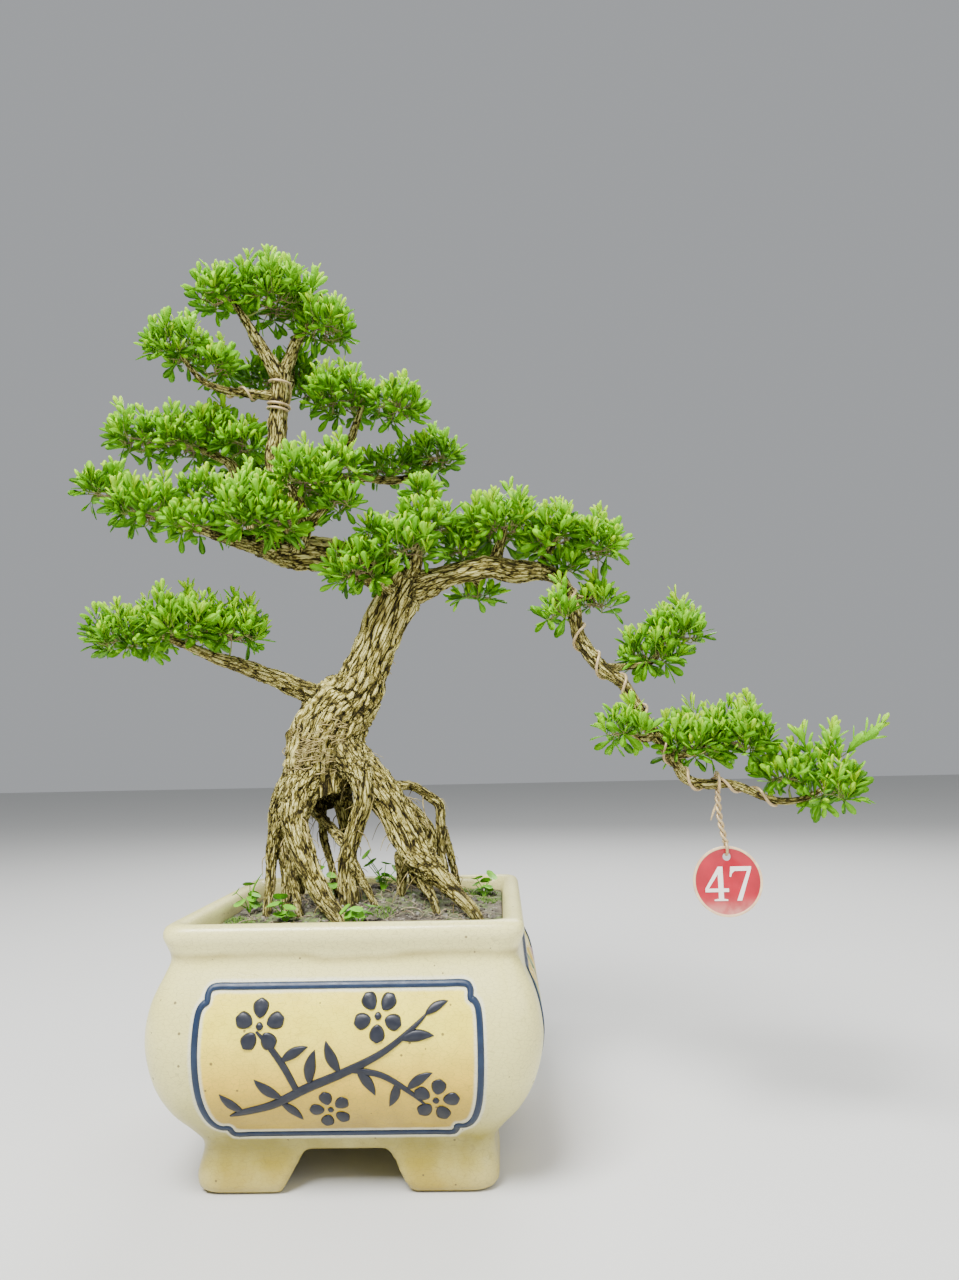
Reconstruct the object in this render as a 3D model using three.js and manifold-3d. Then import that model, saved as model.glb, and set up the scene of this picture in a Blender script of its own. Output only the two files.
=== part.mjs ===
// A boxwood bonsai with exposed roots and one cascading branch, in a square glazed pot.
// Millimetres, +Z up. The tree is laid out about the centre of the pot's foot, with +X to the
// right and +Y away from the front. The exported group is moved so that the origin lies under
// the middle of the whole object's box, on the surface that the pot stands on.

import * as THREE from 'three';
import { mergeVertices } from 'three/addons/utils/BufferGeometryUtils.js';
import Module from 'manifold-3d';

const wasm = await Module();
wasm.setup();

// Pot
const RIM_HALF = 122;
const RIM_TOP = 176;
const FLOOR_TOP = 38;
const FOOT_RECESS_HALF = 77;
const FOOT_RECESS_TOP = 24;
const ARCH_TOP = 26;
const ARCH_HALF_TOP = 28;
const ARCH_HALF_BOTTOM = 43;
const ARCH_ROUND = 7;
const POT_SEGMENTS = 24;
const FLAT_SHARE = 1 / 3;

// Soil
const SOIL_EDGE = 163;
const SOIL_MOUND = 16;

// Clearance between pieces that touch, and the wood's own bark ridges
const GAP = 0.55;
const SLIVER = 0.12;
const RIDGE = 0.07;
const LIMB_STEP = 36;

// Leaves are drawn larger than life here, so that fewer of them carry the form
const LEAF_LENGTH = 27;
const LEAF_WIDTH = 11;
const LEAF_THICKNESS = 1.8;
const LEAF_WIDEST = 0.66;
const CORE_SHARE = 0.72;
const LEAVES_PER_MM = 0.27;
const LEAF_SPACING = 7;
const LEAF_FOOT = 0.6;
const LEAF_REACH = 1.08;
const LEAF_LIFT = 0.35;
const LEAF_SWAY = 0.4;
const LEAF_SHORTEST = 0.82;
const LEAF_SPREAD = 0.3;
const LOWEST_LEAF = -0.65;
const BURIED_SHARE = 0.8;
const BLADE_TRIES = 4;
const BLADE_LEAN = 0.5;
const CORE_ROUGHNESS = 0.12;
const WAIST_SHARE = 0.85;
const FULL_LOBE = 27;
const UP = new THREE.Vector3(0, 0, 1);

// Training wire, tag and its tie
const WIRE_RADIUS = 1.15;
const WINDING_STEPS = 8;
const TAG_RADIUS = 25;
const TAG_THICKNESS = 1.6;
const TAG_HOLE_RADIUS = 2.9;
const TAG_CENTRE = new THREE.Vector3(270, -61, 190.5);
const TAG_HOLE_RISE = 17.5;
const TIE_BRANCH = new THREE.Vector3(266.5, -59.5, 260);
const TIE_RING_RADIUS = 6.8;
const TIE_RING_RISE = 1.5;
const TIE_TWISTS = 3;
const TIE_SWAY = 1.6;
const STRAND_OFFSET = 1.35;

// Limbs: points along each centre line with the wood's radius there, [x, y, z, radius]
const LIMBS = {
  trunk: [[-37, 6, 268, 27], [-36, 5, 291, 30], [-26, 4, 317, 28], [-8, 2, 339, 21],
    [5, 0, 368, 17.5], [17, -2, 395, 17.5], [29, -3, 419, 18]],
  left_main: [[28, -3, 417, 15], [10, 0, 436, 15], [-14, 2, 447, 15], [-40, 0, 453, 14.5],
    [-62, -5, 454, 13.5], [-81, -10, 458, 9], [-104, -18, 467, 6], [-138, -28, 472, 4.2],
    [-173, -34, 481, 2.6]],
  upper: [[-54, -4, 455, 12], [-63, 2, 477, 10.5], [-71, 7, 502, 9.5], [-78, 9, 534, 9],
    [-77, 8, 565, 8], [-75, 6, 591, 7.8], [-74, 5, 608, 7.6]],
  top_left_arm: [[-74, 5, 605, 6.8], [-82, 2, 623, 6.2], [-92, -1, 640, 5.2],
    [-101, -6, 656, 3.8], [-113, -10, 675, 2.4]],
  top_right_arm: [[-75, 6, 605, 6], [-68, 10, 627, 5.3], [-61, 12, 648, 4.6],
    [-49, 14, 669, 3.2], [-41, 12, 689, 2.2]],
  shoulder_left: [[-77, 6, 594, 5], [-94, 0, 594, 3.8], [-115, -8, 594, 3.4],
    [-133, -12, 600, 2.8], [-148, -12, 616, 2.2], [-156, -12, 630, 1.8]],
  shoulder_back: [[-76, 8, 590, 4.6], [-74, 26, 606, 3.8], [-73, 44, 625, 3], [-76, 56, 642, 2.2]],
  right_high: [[-78, 10, 544, 5], [-54, 18, 547, 4.4], [-29, 22, 551, 4], [-17, 22, 559, 3.8],
    [-11, 18, 572, 3.2], [-3, 12, 589, 2.2]],
  right_mid: [[-72, 10, 505, 6], [-45, 34, 522, 5], [-15, 52, 535, 4.4], [15, 60, 534, 3.8],
    [41, 62, 540, 3], [54, 60, 556, 2]],
  back: [[-70, 8, 500, 5.6], [-78, 38, 515, 4.6], [-86, 66, 528, 3.6], [-92, 80, 542, 2.4]],
  left_high: [[-85, -8, 458, 7.5], [-99, 4, 488, 6], [-111, 12, 516, 5.6], [-118, 14, 536, 4.6],
    [-138, 12, 548, 3.4], [-166, 10, 559, 2.2]],
  front_pad_a: [[-55, -12, 457, 8.5], [-46, -28, 470, 6], [-46, -42, 483, 4.6], [-52, -50, 498, 3]],
  front_pad_b: [[-45, -27, 469, 5], [-30, -36, 478, 4], [-20, -38, 493, 3], [-16, -32, 512, 2.2]],
  left_front: [[-84, -12, 457, 6.5], [-102, -34, 458, 4.6], [-122, -52, 463, 3.2],
    [-141, -56, 474, 2.2]],
  crown_stub: [[31, -5, 422, 9], [40, -14, 435, 6.4], [45, -22, 448, 5.2], [50, -20, 464, 3.4]],
  crown_low: [[26, -14, 417, 6], [15, -26, 423, 4.2], [2, -30, 433, 3]],
  right_main: [[29, -3, 418, 15], [43, -4, 422, 12.5], [66, -6, 430, 9.8], [87, -8, 434, 9],
    [106, -10, 436, 9.2], [122, -12, 432, 9.6], [137, -16, 431, 8], [150, -20, 429, 6.4]],
  right_stub: [[107, -10, 438, 6], [111, -8, 454, 4.4], [116, -8, 470, 3]],
  right_tip_stub: [[143, -16, 432, 5], [150, -12, 446, 3.8], [158, -12, 460, 2.6]],
  under_twig: [[88, -6, 432, 4], [91, 4, 428, 3], [93, 12, 424, 2]],
  cascade: [[147, -19, 430, 7], [158, -23, 423, 5.8], [164, -25, 411, 5.6], [169, -27, 394, 5.5],
    [171, -29, 378, 5.3], [178, -31, 363, 5.3], [189, -34, 349, 5.2], [203, -38, 337, 4.8],
    [211, -42, 323, 4.5], [220, -46, 306, 4.3], [229, -50, 290, 4], [237, -53, 277, 3.8],
    [245, -56, 264, 4], [259, -58, 260, 3.5], [275, -61, 260, 3.3], [286, -63, 256, 3],
    [296, -65, 251, 2.9], [314, -68, 247, 2.6], [331, -70, 251, 2.2], [348, -70, 262, 1.7]],
  cascade_spray_twig_a: [[165, -26, 414, 3.4], [158, -33, 409, 2.4], [154, -36, 400, 1.8]],
  cascade_spray_twig_b: [[165, -26, 410, 3.4], [178, -20, 407, 2.6], [190, -14, 411, 1.8]],
  cascade_side: [[191, -34, 349, 4], [203, -32, 350, 3.1], [218, -30, 352, 3], [230, -28, 356, 2.6],
    [236, -28, 369, 1.9]],
  cascade_fork: [[233, -52, 281, 3.6], [246, -54, 282, 3], [259, -54, 286, 2.8],
    [270, -52, 297, 2]],
  cascade_left: [[225, -48, 296, 3.4], [215, -52, 294, 2.6], [204, -56, 300, 1.9]],
  low_left: [[-24, 2, 322, 13], [-39, -1, 334, 9], [-57, -5, 342, 7.9], [-74, -9, 350, 7],
    [-88, -12, 355, 6.6], [-100, -15, 360, 6], [-121, -20, 367, 4.6], [-141, -25, 376, 3.4],
    [-166, -27, 386, 2.4]],
  root_front_left: [[-39, -4, 277, 19], [-50, -12, 258, 14.5], [-53, -20, 237, 10.5],
    [-47, -27, 218, 9.4], [-37, -36, 198, 8.2], [-25, -45, 180, 7.2], [-13, -54, 168, 5.5],
    [-8, -58, 156, 3]],
  root_outer_left: [[-55, 3, 270, 14], [-68.5, 2, 249, 9.5], [-73, 0, 230, 6.6],
    [-75, -5, 211, 4.8], [-74, -12, 191, 4], [-74, -20, 171, 3.5], [-74, -24, 155, 2.4]],
  root_second_left: [[-59, 8, 259, 9], [-69, 6, 229, 6.2], [-67, 2, 211, 5.2], [-63, -4, 189, 4.4],
    [-62, -12, 169, 3.6], [-62, -16, 152, 2.4]],
  root_small_left: [[-51, -20, 216, 5], [-53, -27, 195, 3.8], [-48, -36, 180, 3.4],
    [-42, -44, 160, 2.6]],
  root_inner_thin: [[-43, 16, 265, 8], [-40, 18, 241, 4.4], [-37, 15, 218, 3.5],
    [-30, 9, 198, 3.1], [-26, 4, 178, 2.9], [-24, 2, 158, 2]],
  root_front_centre: [[-13, -10, 286, 15], [-2, -18, 267, 9], [0, -20, 250, 7.6],
    [-6, -18, 231, 6.8], [-12, -16, 211, 7.2], [-14, -16, 193, 6.8], [-11, -19, 177, 8],
    [-10, -20, 157, 5]],
  root_centre_side: [[-11, -16, 207, 5], [-2, -21, 193, 3.4], [6, -26, 180, 2.8],
    [14, -31, 166, 2.2], [18, -34, 156, 1.6]],
  root_brace: [[-45, 18, 241, 4.5], [-30, 4, 229, 4], [-15, -14, 217, 4.4]],
  root_big_right: [[-20, 0, 291, 15], [5, -4, 266, 15], [21, -8, 245, 13], [33, -12, 223, 12.4],
    [42, -16, 207, 13], [57, -25, 196, 8.4], [72, -37, 182, 6], [86, -51, 170, 4.6],
    [95, -58, 157, 3]],
  root_knot_front: [[39, -15, 203, 8], [44, -20, 190, 4.6], [53, -28, 179, 3.6],
    [60, -38, 160, 2.6]],
  root_knot_back: [[30, -8, 205, 7], [28, -2, 188, 4.2], [26, 2, 160, 3]],
  root_loop_high: [[1, 10, 264, 8], [19, 15, 261, 4.6], [35, 20, 260, 4], [48.5, 24, 251, 4],
    [56, 26, 244.5, 4.2], [57.4, 26, 231.6, 4], [57.2, 24, 211, 3.8], [60, 22, 192, 3.8],
    [64, 20, 171, 3.6], [66, 20, 152, 2.6]],
  root_loop_low: [[13, 6, 259, 8], [27, 10, 248, 5.7], [40, 14, 236, 5.5], [49, 16, 224, 5],
    [50, 14, 208, 4.5], [48, 8, 190, 4.2], [49, 2, 172, 3.6], [50, 0, 156, 2.6]],
  root_far_right: [[60, 29, 223, 3.4], [64, 33, 206, 3.3], [68, 36, 188, 3.1], [72, 39, 169, 3],
    [74, 41, 152, 2]],
  root_back_centre: [[-33, 18, 281, 17], [-26, 36, 249, 9], [-22, 50, 206, 6], [-21, 62, 171, 4.6],
    [-20, 68, 149, 3]],
  root_back_left: [[-48, 16, 271, 13], [-62, 36, 237, 8], [-67, 48, 203, 6], [-67, 60, 172, 4.4],
    [-67, 66, 151, 3]],
  root_back_right: [[-6, 16, 276, 14], [16, 36, 242, 8], [29, 50, 205, 6], [33, 60, 172, 4.6],
    [34, 66, 150, 3]],
};

// Leaf pads: rounded lobes that overlap in each pad, [x, y, z, radius x, radius y, radius z]
const PADS = {
  low_left: [[-184, -28, 390, 34, 42, 28], [-137, -32, 396, 37, 50, 31],
    [-103, -20, 394, 27, 34, 27]],
  mid_left_low: [[-205, -36, 507, 22, 26, 20], [-165, -44, 488, 32, 40, 26],
    [-126, -52, 473, 23, 30, 19], [-128, -36, 503, 17, 22, 17]],
  mid_left_high: [[-194, 6, 565, 27, 34, 24], [-156, 12, 563, 31, 42, 29],
    [-133, 14, 575, 19, 30, 26], [-110, 12, 560, 24, 30, 21]],
  front_low: [[-83, -52, 483, 27, 32, 37], [-62, -48, 474, 25, 28, 21]],
  front_high: [[-42, -44, 510, 30, 34, 28], [-16, -30, 525, 19, 24, 23],
    [-14, -42, 488, 15, 20, 14]],
  upper_left: [[-157, -12, 638, 29, 32, 27], [-127, -6, 623, 22, 26, 22]],
  top: [[-121, -8, 686, 30, 32, 24], [-82, 4, 690, 37, 48, 33], [-37, 10, 664, 26, 36, 26]],
  upper_back: [[-103, 52, 637, 22, 26, 24], [-77, 60, 644, 22, 26, 26], [-64, 60, 626, 15, 20, 20]],
  upper_right: [[-23, 16, 602, 31, 40, 29], [24, 12, 591, 27, 34, 25]],
  right_back: [[16, 58, 551, 31, 28, 20], [54, 60, 561, 27, 28, 26]],
  back: [[-112, 78, 553, 32, 30, 28], [-72, 84, 530, 32, 30, 28]],
  crown_left: [[1, -26, 440, 32, 32, 27], [38, -32, 456, 27, 30, 27], [14, -28, 466, 16, 20, 14]],
  crown_right: [[53, -10, 478, 28, 34, 26], [80, 4, 464, 20, 30, 27], [48, -8, 506, 12, 16, 15]],
  right: [[114, -10, 477, 35, 46, 28], [154, -14, 465, 31, 44, 28], [190, -18, 457, 21, 36, 27],
    [165, -18, 438, 15, 20, 12]],
  under_right: [[92, 14, 421, 20, 20, 12]],
  cascade_spray_a: [[156, -37, 400, 12, 14, 23]],
  cascade_spray_b: [[187, -14, 409, 18, 18, 20]],
  cascade_bud: [[230, -28, 367, 27, 28, 26], [250, -26, 383, 23, 26, 28]],
  cascade_left: [[202, -56, 307, 19, 22, 22]],
  cascade_mid: [[254, -44, 296, 28, 34, 28], [287, -50, 300, 24, 34, 32]],
  cascade_tip: [[316, -62, 272, 23, 26, 20], [344, -68, 264, 25, 28, 29]],
};

// Long single shoots that stand out of a pad: [pad, x, y, z of the foot, x, y, z of the tip]
const LONG_SHOOTS = [
  ['cascade_tip', 344, -68, 270, 393, -66, 306],
  ['cascade_tip', 345, -68, 276, 352, -66, 303],
  ['cascade_tip', 335, -68, 272, 326, -66, 299],
  ['mid_left_high', -196, 6, 568, -214, 4, 590],
  ['mid_left_low', -206, -36, 503, -228, -36, 510],
  ['top', -84, 4, 700, -85, 4, 730],
  ['top', -50, 8, 680, -44, 8, 712],
];

// Weeds in the soil: name, foot, and the tips of its stems from the foot
const WEEDS = {
  weed_left: { foot: [-94, 2], stems: [[-9, -6, 16], [-2, 7, 20], [6, -5, 13]], blade: [12, -6, 34] },
  weed_front: { foot: [-54, -48], stems: [[-7, -6, 13], [5, -7, 11], [-5, 6, 17]] },
  weed_centre: { foot: [-32, -6], stems: [[-4, -4, 26], [5, -2, 20]] },
  weed_middle: { foot: [4, -66], stems: [[-10, -1, 11], [-1, -7, 12], [7, 3, 13]] },
  weed_back: { foot: [12, 6], stems: [[-12, -4, 30], [2, 3, 22], [10, -2, 18], [-4, 4, 16]] },
  weed_right: { foot: [92, 50], stems: [[-6, 3, 15], [6, -4, 18], [2, 8, 12]] },
};
const WEED_STEM_RADIUS = 0.75;
const WEED_LEAF_RADIUS = 4.2;
const WEED_FOOT_RADIUS = 1.5;
const GRASS_WIDTH = 3;

// Colours and finishes seen on each piece
const paint = (color, roughness, metalness = 0) =>
  new THREE.MeshStandardMaterial({ color, roughness, metalness });
const MATERIALS = {
  glaze: paint(0xd9d3b4, 0.32),
  soil: paint(0x4a4238, 0.95),
  bark: paint(0x9c8f68, 0.9),
  leaf: paint(0x5a9a1e, 0.5),
  leaf_dark: paint(0x3f7a20, 0.5),
  weed: paint(0x55a02a, 0.5),
  wire: paint(0xa5825a, 0.5, 0.6),
  tag: paint(0xb3222c, 0.35),
};

// A seeded draw from 0 to 1, the same on every run
function seededDraw(seed) {
  let state = seed >>> 0;
  return () => {
    state = (state + 0x6d2b79f5) >>> 0;
    let t = state;
    t = Math.imul(t ^ (t >>> 15), t | 1);
    t ^= t + Math.imul(t ^ (t >>> 7), t | 61);
    return ((t ^ (t >>> 14)) >>> 0) / 4294967296;
  };
}

// A closed geometry as a solid that can be joined and cut
function solidOf(geometry) {
  const bare = geometry.clone();
  bare.deleteAttribute('normal');
  bare.deleteAttribute('uv');
  const merged = mergeVertices(bare, 1e-4);
  const index = Array.from(merged.index.array);
  const faces = [];
  for (let i = 0; i < index.length; i += 3) {
    const [a, b, c] = index.slice(i, i + 3);
    if (a !== b && b !== c && c !== a) faces.push(a, b, c);
  }
  return new wasm.Manifold(new wasm.Mesh({
    numProp: 3,
    vertProperties: Float32Array.from(merged.attributes.position.array),
    triVerts: Uint32Array.from(faces),
  }));
}

function geometryOf(solid) {
  const mesh = solid.getMesh();
  const geometry = new THREE.BufferGeometry();
  geometry.setAttribute('position', new THREE.BufferAttribute(mesh.vertProperties, 3));
  geometry.setIndex(new THREE.BufferAttribute(mesh.triVerts, 1));
  geometry.computeVertexNormals();
  return geometry;
}

const joined = (solids) => wasm.Manifold.union(solids);

// The largest connected body of a solid: loose scraps of a cut are dropped, slivers closed up
function largestBody(solid) {
  const bodies = settled(solid).simplify(SLIVER).decompose();
  return settled(bodies.reduce((best, body) => (body.volume() > best.volume() ? body : best)));
}

// A solid on its own, without the history of the joins and cuts that made it
function settled(solid) {
  const { vertProperties, triVerts, mergeFromVert, mergeToVert } = solid.getMesh();
  const mesh = new wasm.Mesh({ numProp: 3, vertProperties, triVerts, mergeFromVert, mergeToVert });
  return new wasm.Manifold(mesh);
}

function isClear(a, b) {
  const common = a.intersect(b);
  const clear = common.volume() < 1e-6;
  common.delete();
  return clear;
}

// Frames along a limb's centre line that don't twist: point, two normals and the radius at share t
function limbFrames(points, count) {
  const places = points.map(([x, y, z]) => new THREE.Vector3(x, y, z));
  const curve = new THREE.CatmullRomCurve3(places, false, 'centripetal');
  curve.arcLengthDivisions = 40 * points.length;
  const frames = [];
  const steep = Math.abs(curve.getTangent(0).z) > 0.9;
  let normal = steep ? new THREE.Vector3(0, -1, 0) : new THREE.Vector3(0, 0, 1);
  for (let i = 0; i <= count; i += 1) {
    const t = curve.getUtoTmapping(i / count);
    const tangent = curve.getTangent(t);
    normal = normal.clone().addScaledVector(tangent, -normal.dot(tangent)).normalize();
    const place = t * (points.length - 1);
    const low = Math.min(Math.floor(place), points.length - 2);
    const radius = THREE.MathUtils.lerp(points[low][3], points[low + 1][3], place - low);
    const side = new THREE.Vector3().crossVectors(tangent, normal);
    frames.push({ point: curve.getPoint(t), tangent, normal, side, radius });
  }
  frames.length_mm = curve.getLength();
  return frames;
}

// A limb: a closed cylinder whose rings follow the frames, with bark ridges along it
function limbSolid(points, seed, extra = 0) {
  const mean = points.reduce((sum, p) => sum + p[3], 0) / points.length;
  let sides = 4;
  if (mean > 3.6) sides = 5;
  if (mean > 8) sides = 6;
  if (mean > 16) sides = 8;
  const length = limbFrames(points, 4).length_mm;
  const steps = Math.max(2, Math.round(length / Math.min(LIMB_STEP, 8 + mean * 1.7)));
  const frames = limbFrames(points, steps);
  const draw = seededDraw(seed);
  const factors = Array.from({ length: (steps + 1) * sides }, () => 1 + RIDGE * (2 * draw() - 1));
  const geometry = new THREE.CylinderGeometry(1, 1, 1, sides, steps);
  const position = geometry.attributes.position;
  for (let i = 0; i < position.count; i += 1) {
    const ring = Math.round((0.5 - position.getY(i)) * steps);
    const frame = frames[ring];
    const out = Math.hypot(position.getX(i), position.getZ(i));
    const place = frame.point.clone();
    if (ring === 0) place.addScaledVector(frame.tangent, -extra);
    if (ring === steps) place.addScaledVector(frame.tangent, extra);
    if (out > 0.5) {
      const turn = Math.atan2(position.getX(i), position.getZ(i));
      const k = (Math.round((turn / (2 * Math.PI)) * sides) + sides) % sides;
      const angle = (2 * Math.PI * k) / sides;
      const groove = sides === 8 && k % 2 ? 1 - RIDGE : 1;
      const r = frame.radius * factors[ring * sides + k] * groove + extra;
      place.addScaledVector(frame.normal, -Math.cos(angle) * r);
      place.addScaledVector(frame.side, Math.sin(angle) * r);
    }
    position.setXYZ(i, place.x, place.y, place.z);
  }
  const solid = solidOf(geometry);
  if (solid.volume() <= 0) throw new Error('a limb is inside out');
  return solid;
}

function woodSolid(extra) {
  const limbs = Object.values(LIMBS).map((points, i) => limbSolid(points, 101 + i, extra));
  return largestBody(joined(limbs));
}

// Rounded square plan: the point of segment k at half width h with corner radius c
function planPoint(k, h, c) {
  const perSide = POT_SEGMENTS / 4;
  const side = Math.floor((k + perSide / 2) / perSide) % 4;
  const q = ((k + perSide / 2) % perSide) / perSide;
  const flat = h - Math.min(c, h);
  const corner = Math.min(c, h);
  const along = q * 2 - 1;
  let x = h;
  let y = flat * (along / FLAT_SHARE);
  if (Math.abs(along) > FLAT_SHARE + 1e-6) {
    const turn = ((Math.abs(along) - FLAT_SHARE) / (1 - FLAT_SHARE)) * (Math.PI / 4);
    x = flat + corner * Math.cos(turn);
    y = Math.sign(along) * (flat + corner * Math.sin(turn));
  }
  const angle = (side * Math.PI) / 2;
  return [x * Math.cos(angle) - y * Math.sin(angle), x * Math.sin(angle) + y * Math.cos(angle)];
}

// A turned profile of [half width, height] whose round plan is pressed into a rounded square
function squareTurned(profile, cornerAt, raise = () => 0) {
  const geometry = new THREE.LatheGeometry(profile.map(([h, z]) => new THREE.Vector2(h, z)), POT_SEGMENTS);
  geometry.rotateX(Math.PI / 2);
  const position = geometry.attributes.position;
  for (let i = 0; i < position.count; i += 1) {
    const h = Math.hypot(position.getX(i), position.getY(i));
    const z = position.getZ(i);
    if (h > 1e-6) {
      const turn = Math.atan2(position.getY(i), position.getX(i));
      const k = (Math.round((turn / (2 * Math.PI)) * POT_SEGMENTS) + POT_SEGMENTS) % POT_SEGMENTS;
      const [x, y] = planPoint(k, h, cornerAt(z, h));
      position.setXYZ(i, x, y, z + raise(x, y, z));
    } else {
      position.setXYZ(i, 0, 0, z + raise(0, 0, z));
    }
  }
  return solidOf(geometry);
}

// The pot's inner wall, from the floor's edge up to the lip
const CAVITY = [[88, FLOOR_TOP], [114.5, 62], [125.5, 98], [120, 129], [108.5, 152], [107, 163]];
const cornerOfWall = (z) => 14 + 16 * Math.exp(-(((z - 95) / 38) ** 2));
const cornerOfCavity = (z) => cornerOfWall(z) - 3;

function potSolid() {
  const outside = squareTurned([[0, 0], [97.5, 0], [100.5, 3], [101.5, 11], [98.5, 29],
    [104.5, 39], [118.5, 55], [129, 75], [134, 99], [130.8, 122],
    [122, 143], [117.5, 153], [119.5, 161], [RIM_HALF, 168], [120.6, 174],
    [117.5, RIM_TOP], [0, RIM_TOP]], cornerOfWall);
  const inside = squareTurned([[0, FLOOR_TOP], ...CAVITY, [107.5, 170], [110.5, RIM_TOP],
    [113, RIM_TOP + 4], [0, RIM_TOP + 4]], cornerOfCavity);
  const recess = squareTurned([[0, -5], [FOOT_RECESS_HALF + 1, -5],
    [FOOT_RECESS_HALF, FOOT_RECESS_TOP - 3], [FOOT_RECESS_HALF - 3, FOOT_RECESS_TOP],
    [0, FOOT_RECESS_TOP]], () => 10);
  return outside.subtract(inside).subtract(recess).subtract(archSolid(0)).subtract(archSolid(Math.PI / 2));
}

// The trapezoid passage between the feet, turned about the pot's axis
function archSolid(turn) {
  const shape = new THREE.Shape();
  const slope = (ARCH_HALF_BOTTOM - ARCH_HALF_TOP) / ARCH_TOP;
  shape.moveTo(-ARCH_HALF_BOTTOM - 4 * slope, -4);
  shape.lineTo(ARCH_HALF_BOTTOM + 4 * slope, -4);
  shape.lineTo(ARCH_HALF_TOP + ARCH_ROUND * slope, ARCH_TOP - ARCH_ROUND);
  shape.quadraticCurveTo(ARCH_HALF_TOP, ARCH_TOP, ARCH_HALF_TOP - ARCH_ROUND, ARCH_TOP);
  shape.lineTo(-ARCH_HALF_TOP + ARCH_ROUND, ARCH_TOP);
  const shoulder = ARCH_HALF_TOP + ARCH_ROUND * slope;
  shape.quadraticCurveTo(-ARCH_HALF_TOP, ARCH_TOP, -shoulder, ARCH_TOP - ARCH_ROUND);
  const reach = 2 * RIM_HALF + 60;
  const settings = { depth: reach, bevelEnabled: false, curveSegments: 3 };
  const geometry = new THREE.ExtrudeGeometry(shape, settings);
  geometry.translate(0, 0, -reach / 2);
  geometry.rotateX(Math.PI / 2);
  geometry.rotateZ(turn);
  return solidOf(geometry);
}

const soilRise = (x, y) => SOIL_MOUND * Math.exp(-(((x - 5) / 72) ** 2) - ((y - 22) / 62) ** 2);

function soilSolid(cutters) {
  const wall = CAVITY.map(([h, z]) => [h - GAP, z]);
  wall[0][1] += GAP;
  const top = [72, 36].map((h) => [h, SOIL_EDGE]);
  const raise = (x, y, z) => (z > SOIL_EDGE - 0.01 ? soilRise(x, y) : 0);
  const profile = [[0, FLOOR_TOP + GAP], ...wall, ...top, [0, SOIL_EDGE]];
  const body = squareTurned(profile, (z) => cornerOfCavity(z) - GAP / 2, raise);
  return largestBody(body.subtract(joined(cutters)));
}

// One blade: widest past its middle, three-sided in section, its foot at the origin, its tip up +Z
function bladeGeometry(length, width, thickness) {
  const profile = [[0, 0], [0.577, LEAF_WIDEST * length], [0, length]];
  const geometry = new THREE.LatheGeometry(profile.map(([r, z]) => new THREE.Vector2(r, z)), 3);
  geometry.rotateX(Math.PI / 2);
  geometry.scale(width, thickness, 1);
  return geometry;
}

// A blade standing at foot, pointing along direction, its face turned towards facing
function placedBlade(foot, direction, facing, length, extra = 0, width = LEAF_WIDTH) {
  const up = direction.clone().normalize();
  const face = facing.clone().addScaledVector(up, -facing.dot(up)).normalize();
  const side = new THREE.Vector3().crossVectors(face, up);
  const geometry = bladeGeometry(length, width + extra, LEAF_THICKNESS + extra);
  geometry.applyMatrix4(new THREE.Matrix4().makeBasis(side, face, up).setPosition(foot));
  return solidOf(geometry);
}

// A lumpy ball of twigs and small leaves, pressed to the lobe's radii
function coreSolid([x, y, z, rx, ry, rz], seed, extra) {
  const draw = seededDraw(seed);
  const geometry = new THREE.IcosahedronGeometry(1, 0);
  geometry.deleteAttribute('normal');
  geometry.deleteAttribute('uv');
  const ball = mergeVertices(geometry, 1e-4);
  const position = ball.attributes.position;
  const radii = new THREE.Vector3(rx, ry, rz);
  for (let i = 0; i < position.count; i += 1) {
    const rough = 1 + CORE_ROUGHNESS * (2 * draw() - 1);
    const reach = radii.clone().multiplyScalar(CORE_SHARE * rough).addScalar(extra);
    const place = new THREE.Vector3().fromBufferAttribute(position, i).multiply(reach);
    position.setXYZ(i, x + place.x, y + place.y, z + place.z);
  }
  return solidOf(ball);
}

// The lobe that fills the waist between two neighbours
const between = (a, b) =>
  a.map((value, i) => (i < 3 ? (value + b[i]) / 2 : Math.min(value, b[i]) * WAIST_SHARE));

// The cores of one pad, one in each lobe and one between each two neighbours
function padCores(name, extra) {
  const lobes = PADS[name];
  const links = lobes.slice(1).map((lobe, i) => between(lobes[i], lobe));
  const seed = 1000 * (1 + Object.keys(PADS).indexOf(name));
  return joined([...lobes, ...links].map((lobe, i) => coreSolid(lobe, seed + i, extra)));
}

// Leaf directions of one lobe, spread evenly over all but its underside
function leafDirections(count, draw) {
  const found = [];
  for (let i = 0; i < count; i += 1) {
    const z = LOWEST_LEAF + (1 - LOWEST_LEAF) * ((i + 0.5) / count);
    const turn = i * Math.PI * (3 - Math.sqrt(5)) + draw() * 0.5;
    const flat = Math.sqrt(1 - z * z);
    found.push(new THREE.Vector3(Math.cos(turn) * flat, Math.sin(turn) * flat, z));
  }
  return found;
}

// The block of space that a pad's lobes and leaves may reach
function roomAround(lobes) {
  const room = new THREE.Box3();
  for (const [x, y, z, rx, ry, rz] of lobes) {
    const reach = new THREE.Vector3(rx, ry, rz).addScalar(LEAF_LENGTH);
    const centre = new THREE.Vector3(x, y, z);
    room.expandByPoint(centre.clone().add(reach));
    room.expandByPoint(centre.clone().sub(reach));
  }
  const size = room.getSize(new THREE.Vector3());
  const middle = room.getCenter(new THREE.Vector3());
  const block = new THREE.BoxGeometry(size.x, size.y, size.z);
  return solidOf(block.translate(middle.x, middle.y, middle.z));
}

function isInsideLobe(place, [x, y, z, rx, ry, rz], share) {
  const offset = place.clone().sub(new THREE.Vector3(x, y, z));
  return offset.divide(new THREE.Vector3(rx, ry, rz).multiplyScalar(share)).length() < 1;
}

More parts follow.
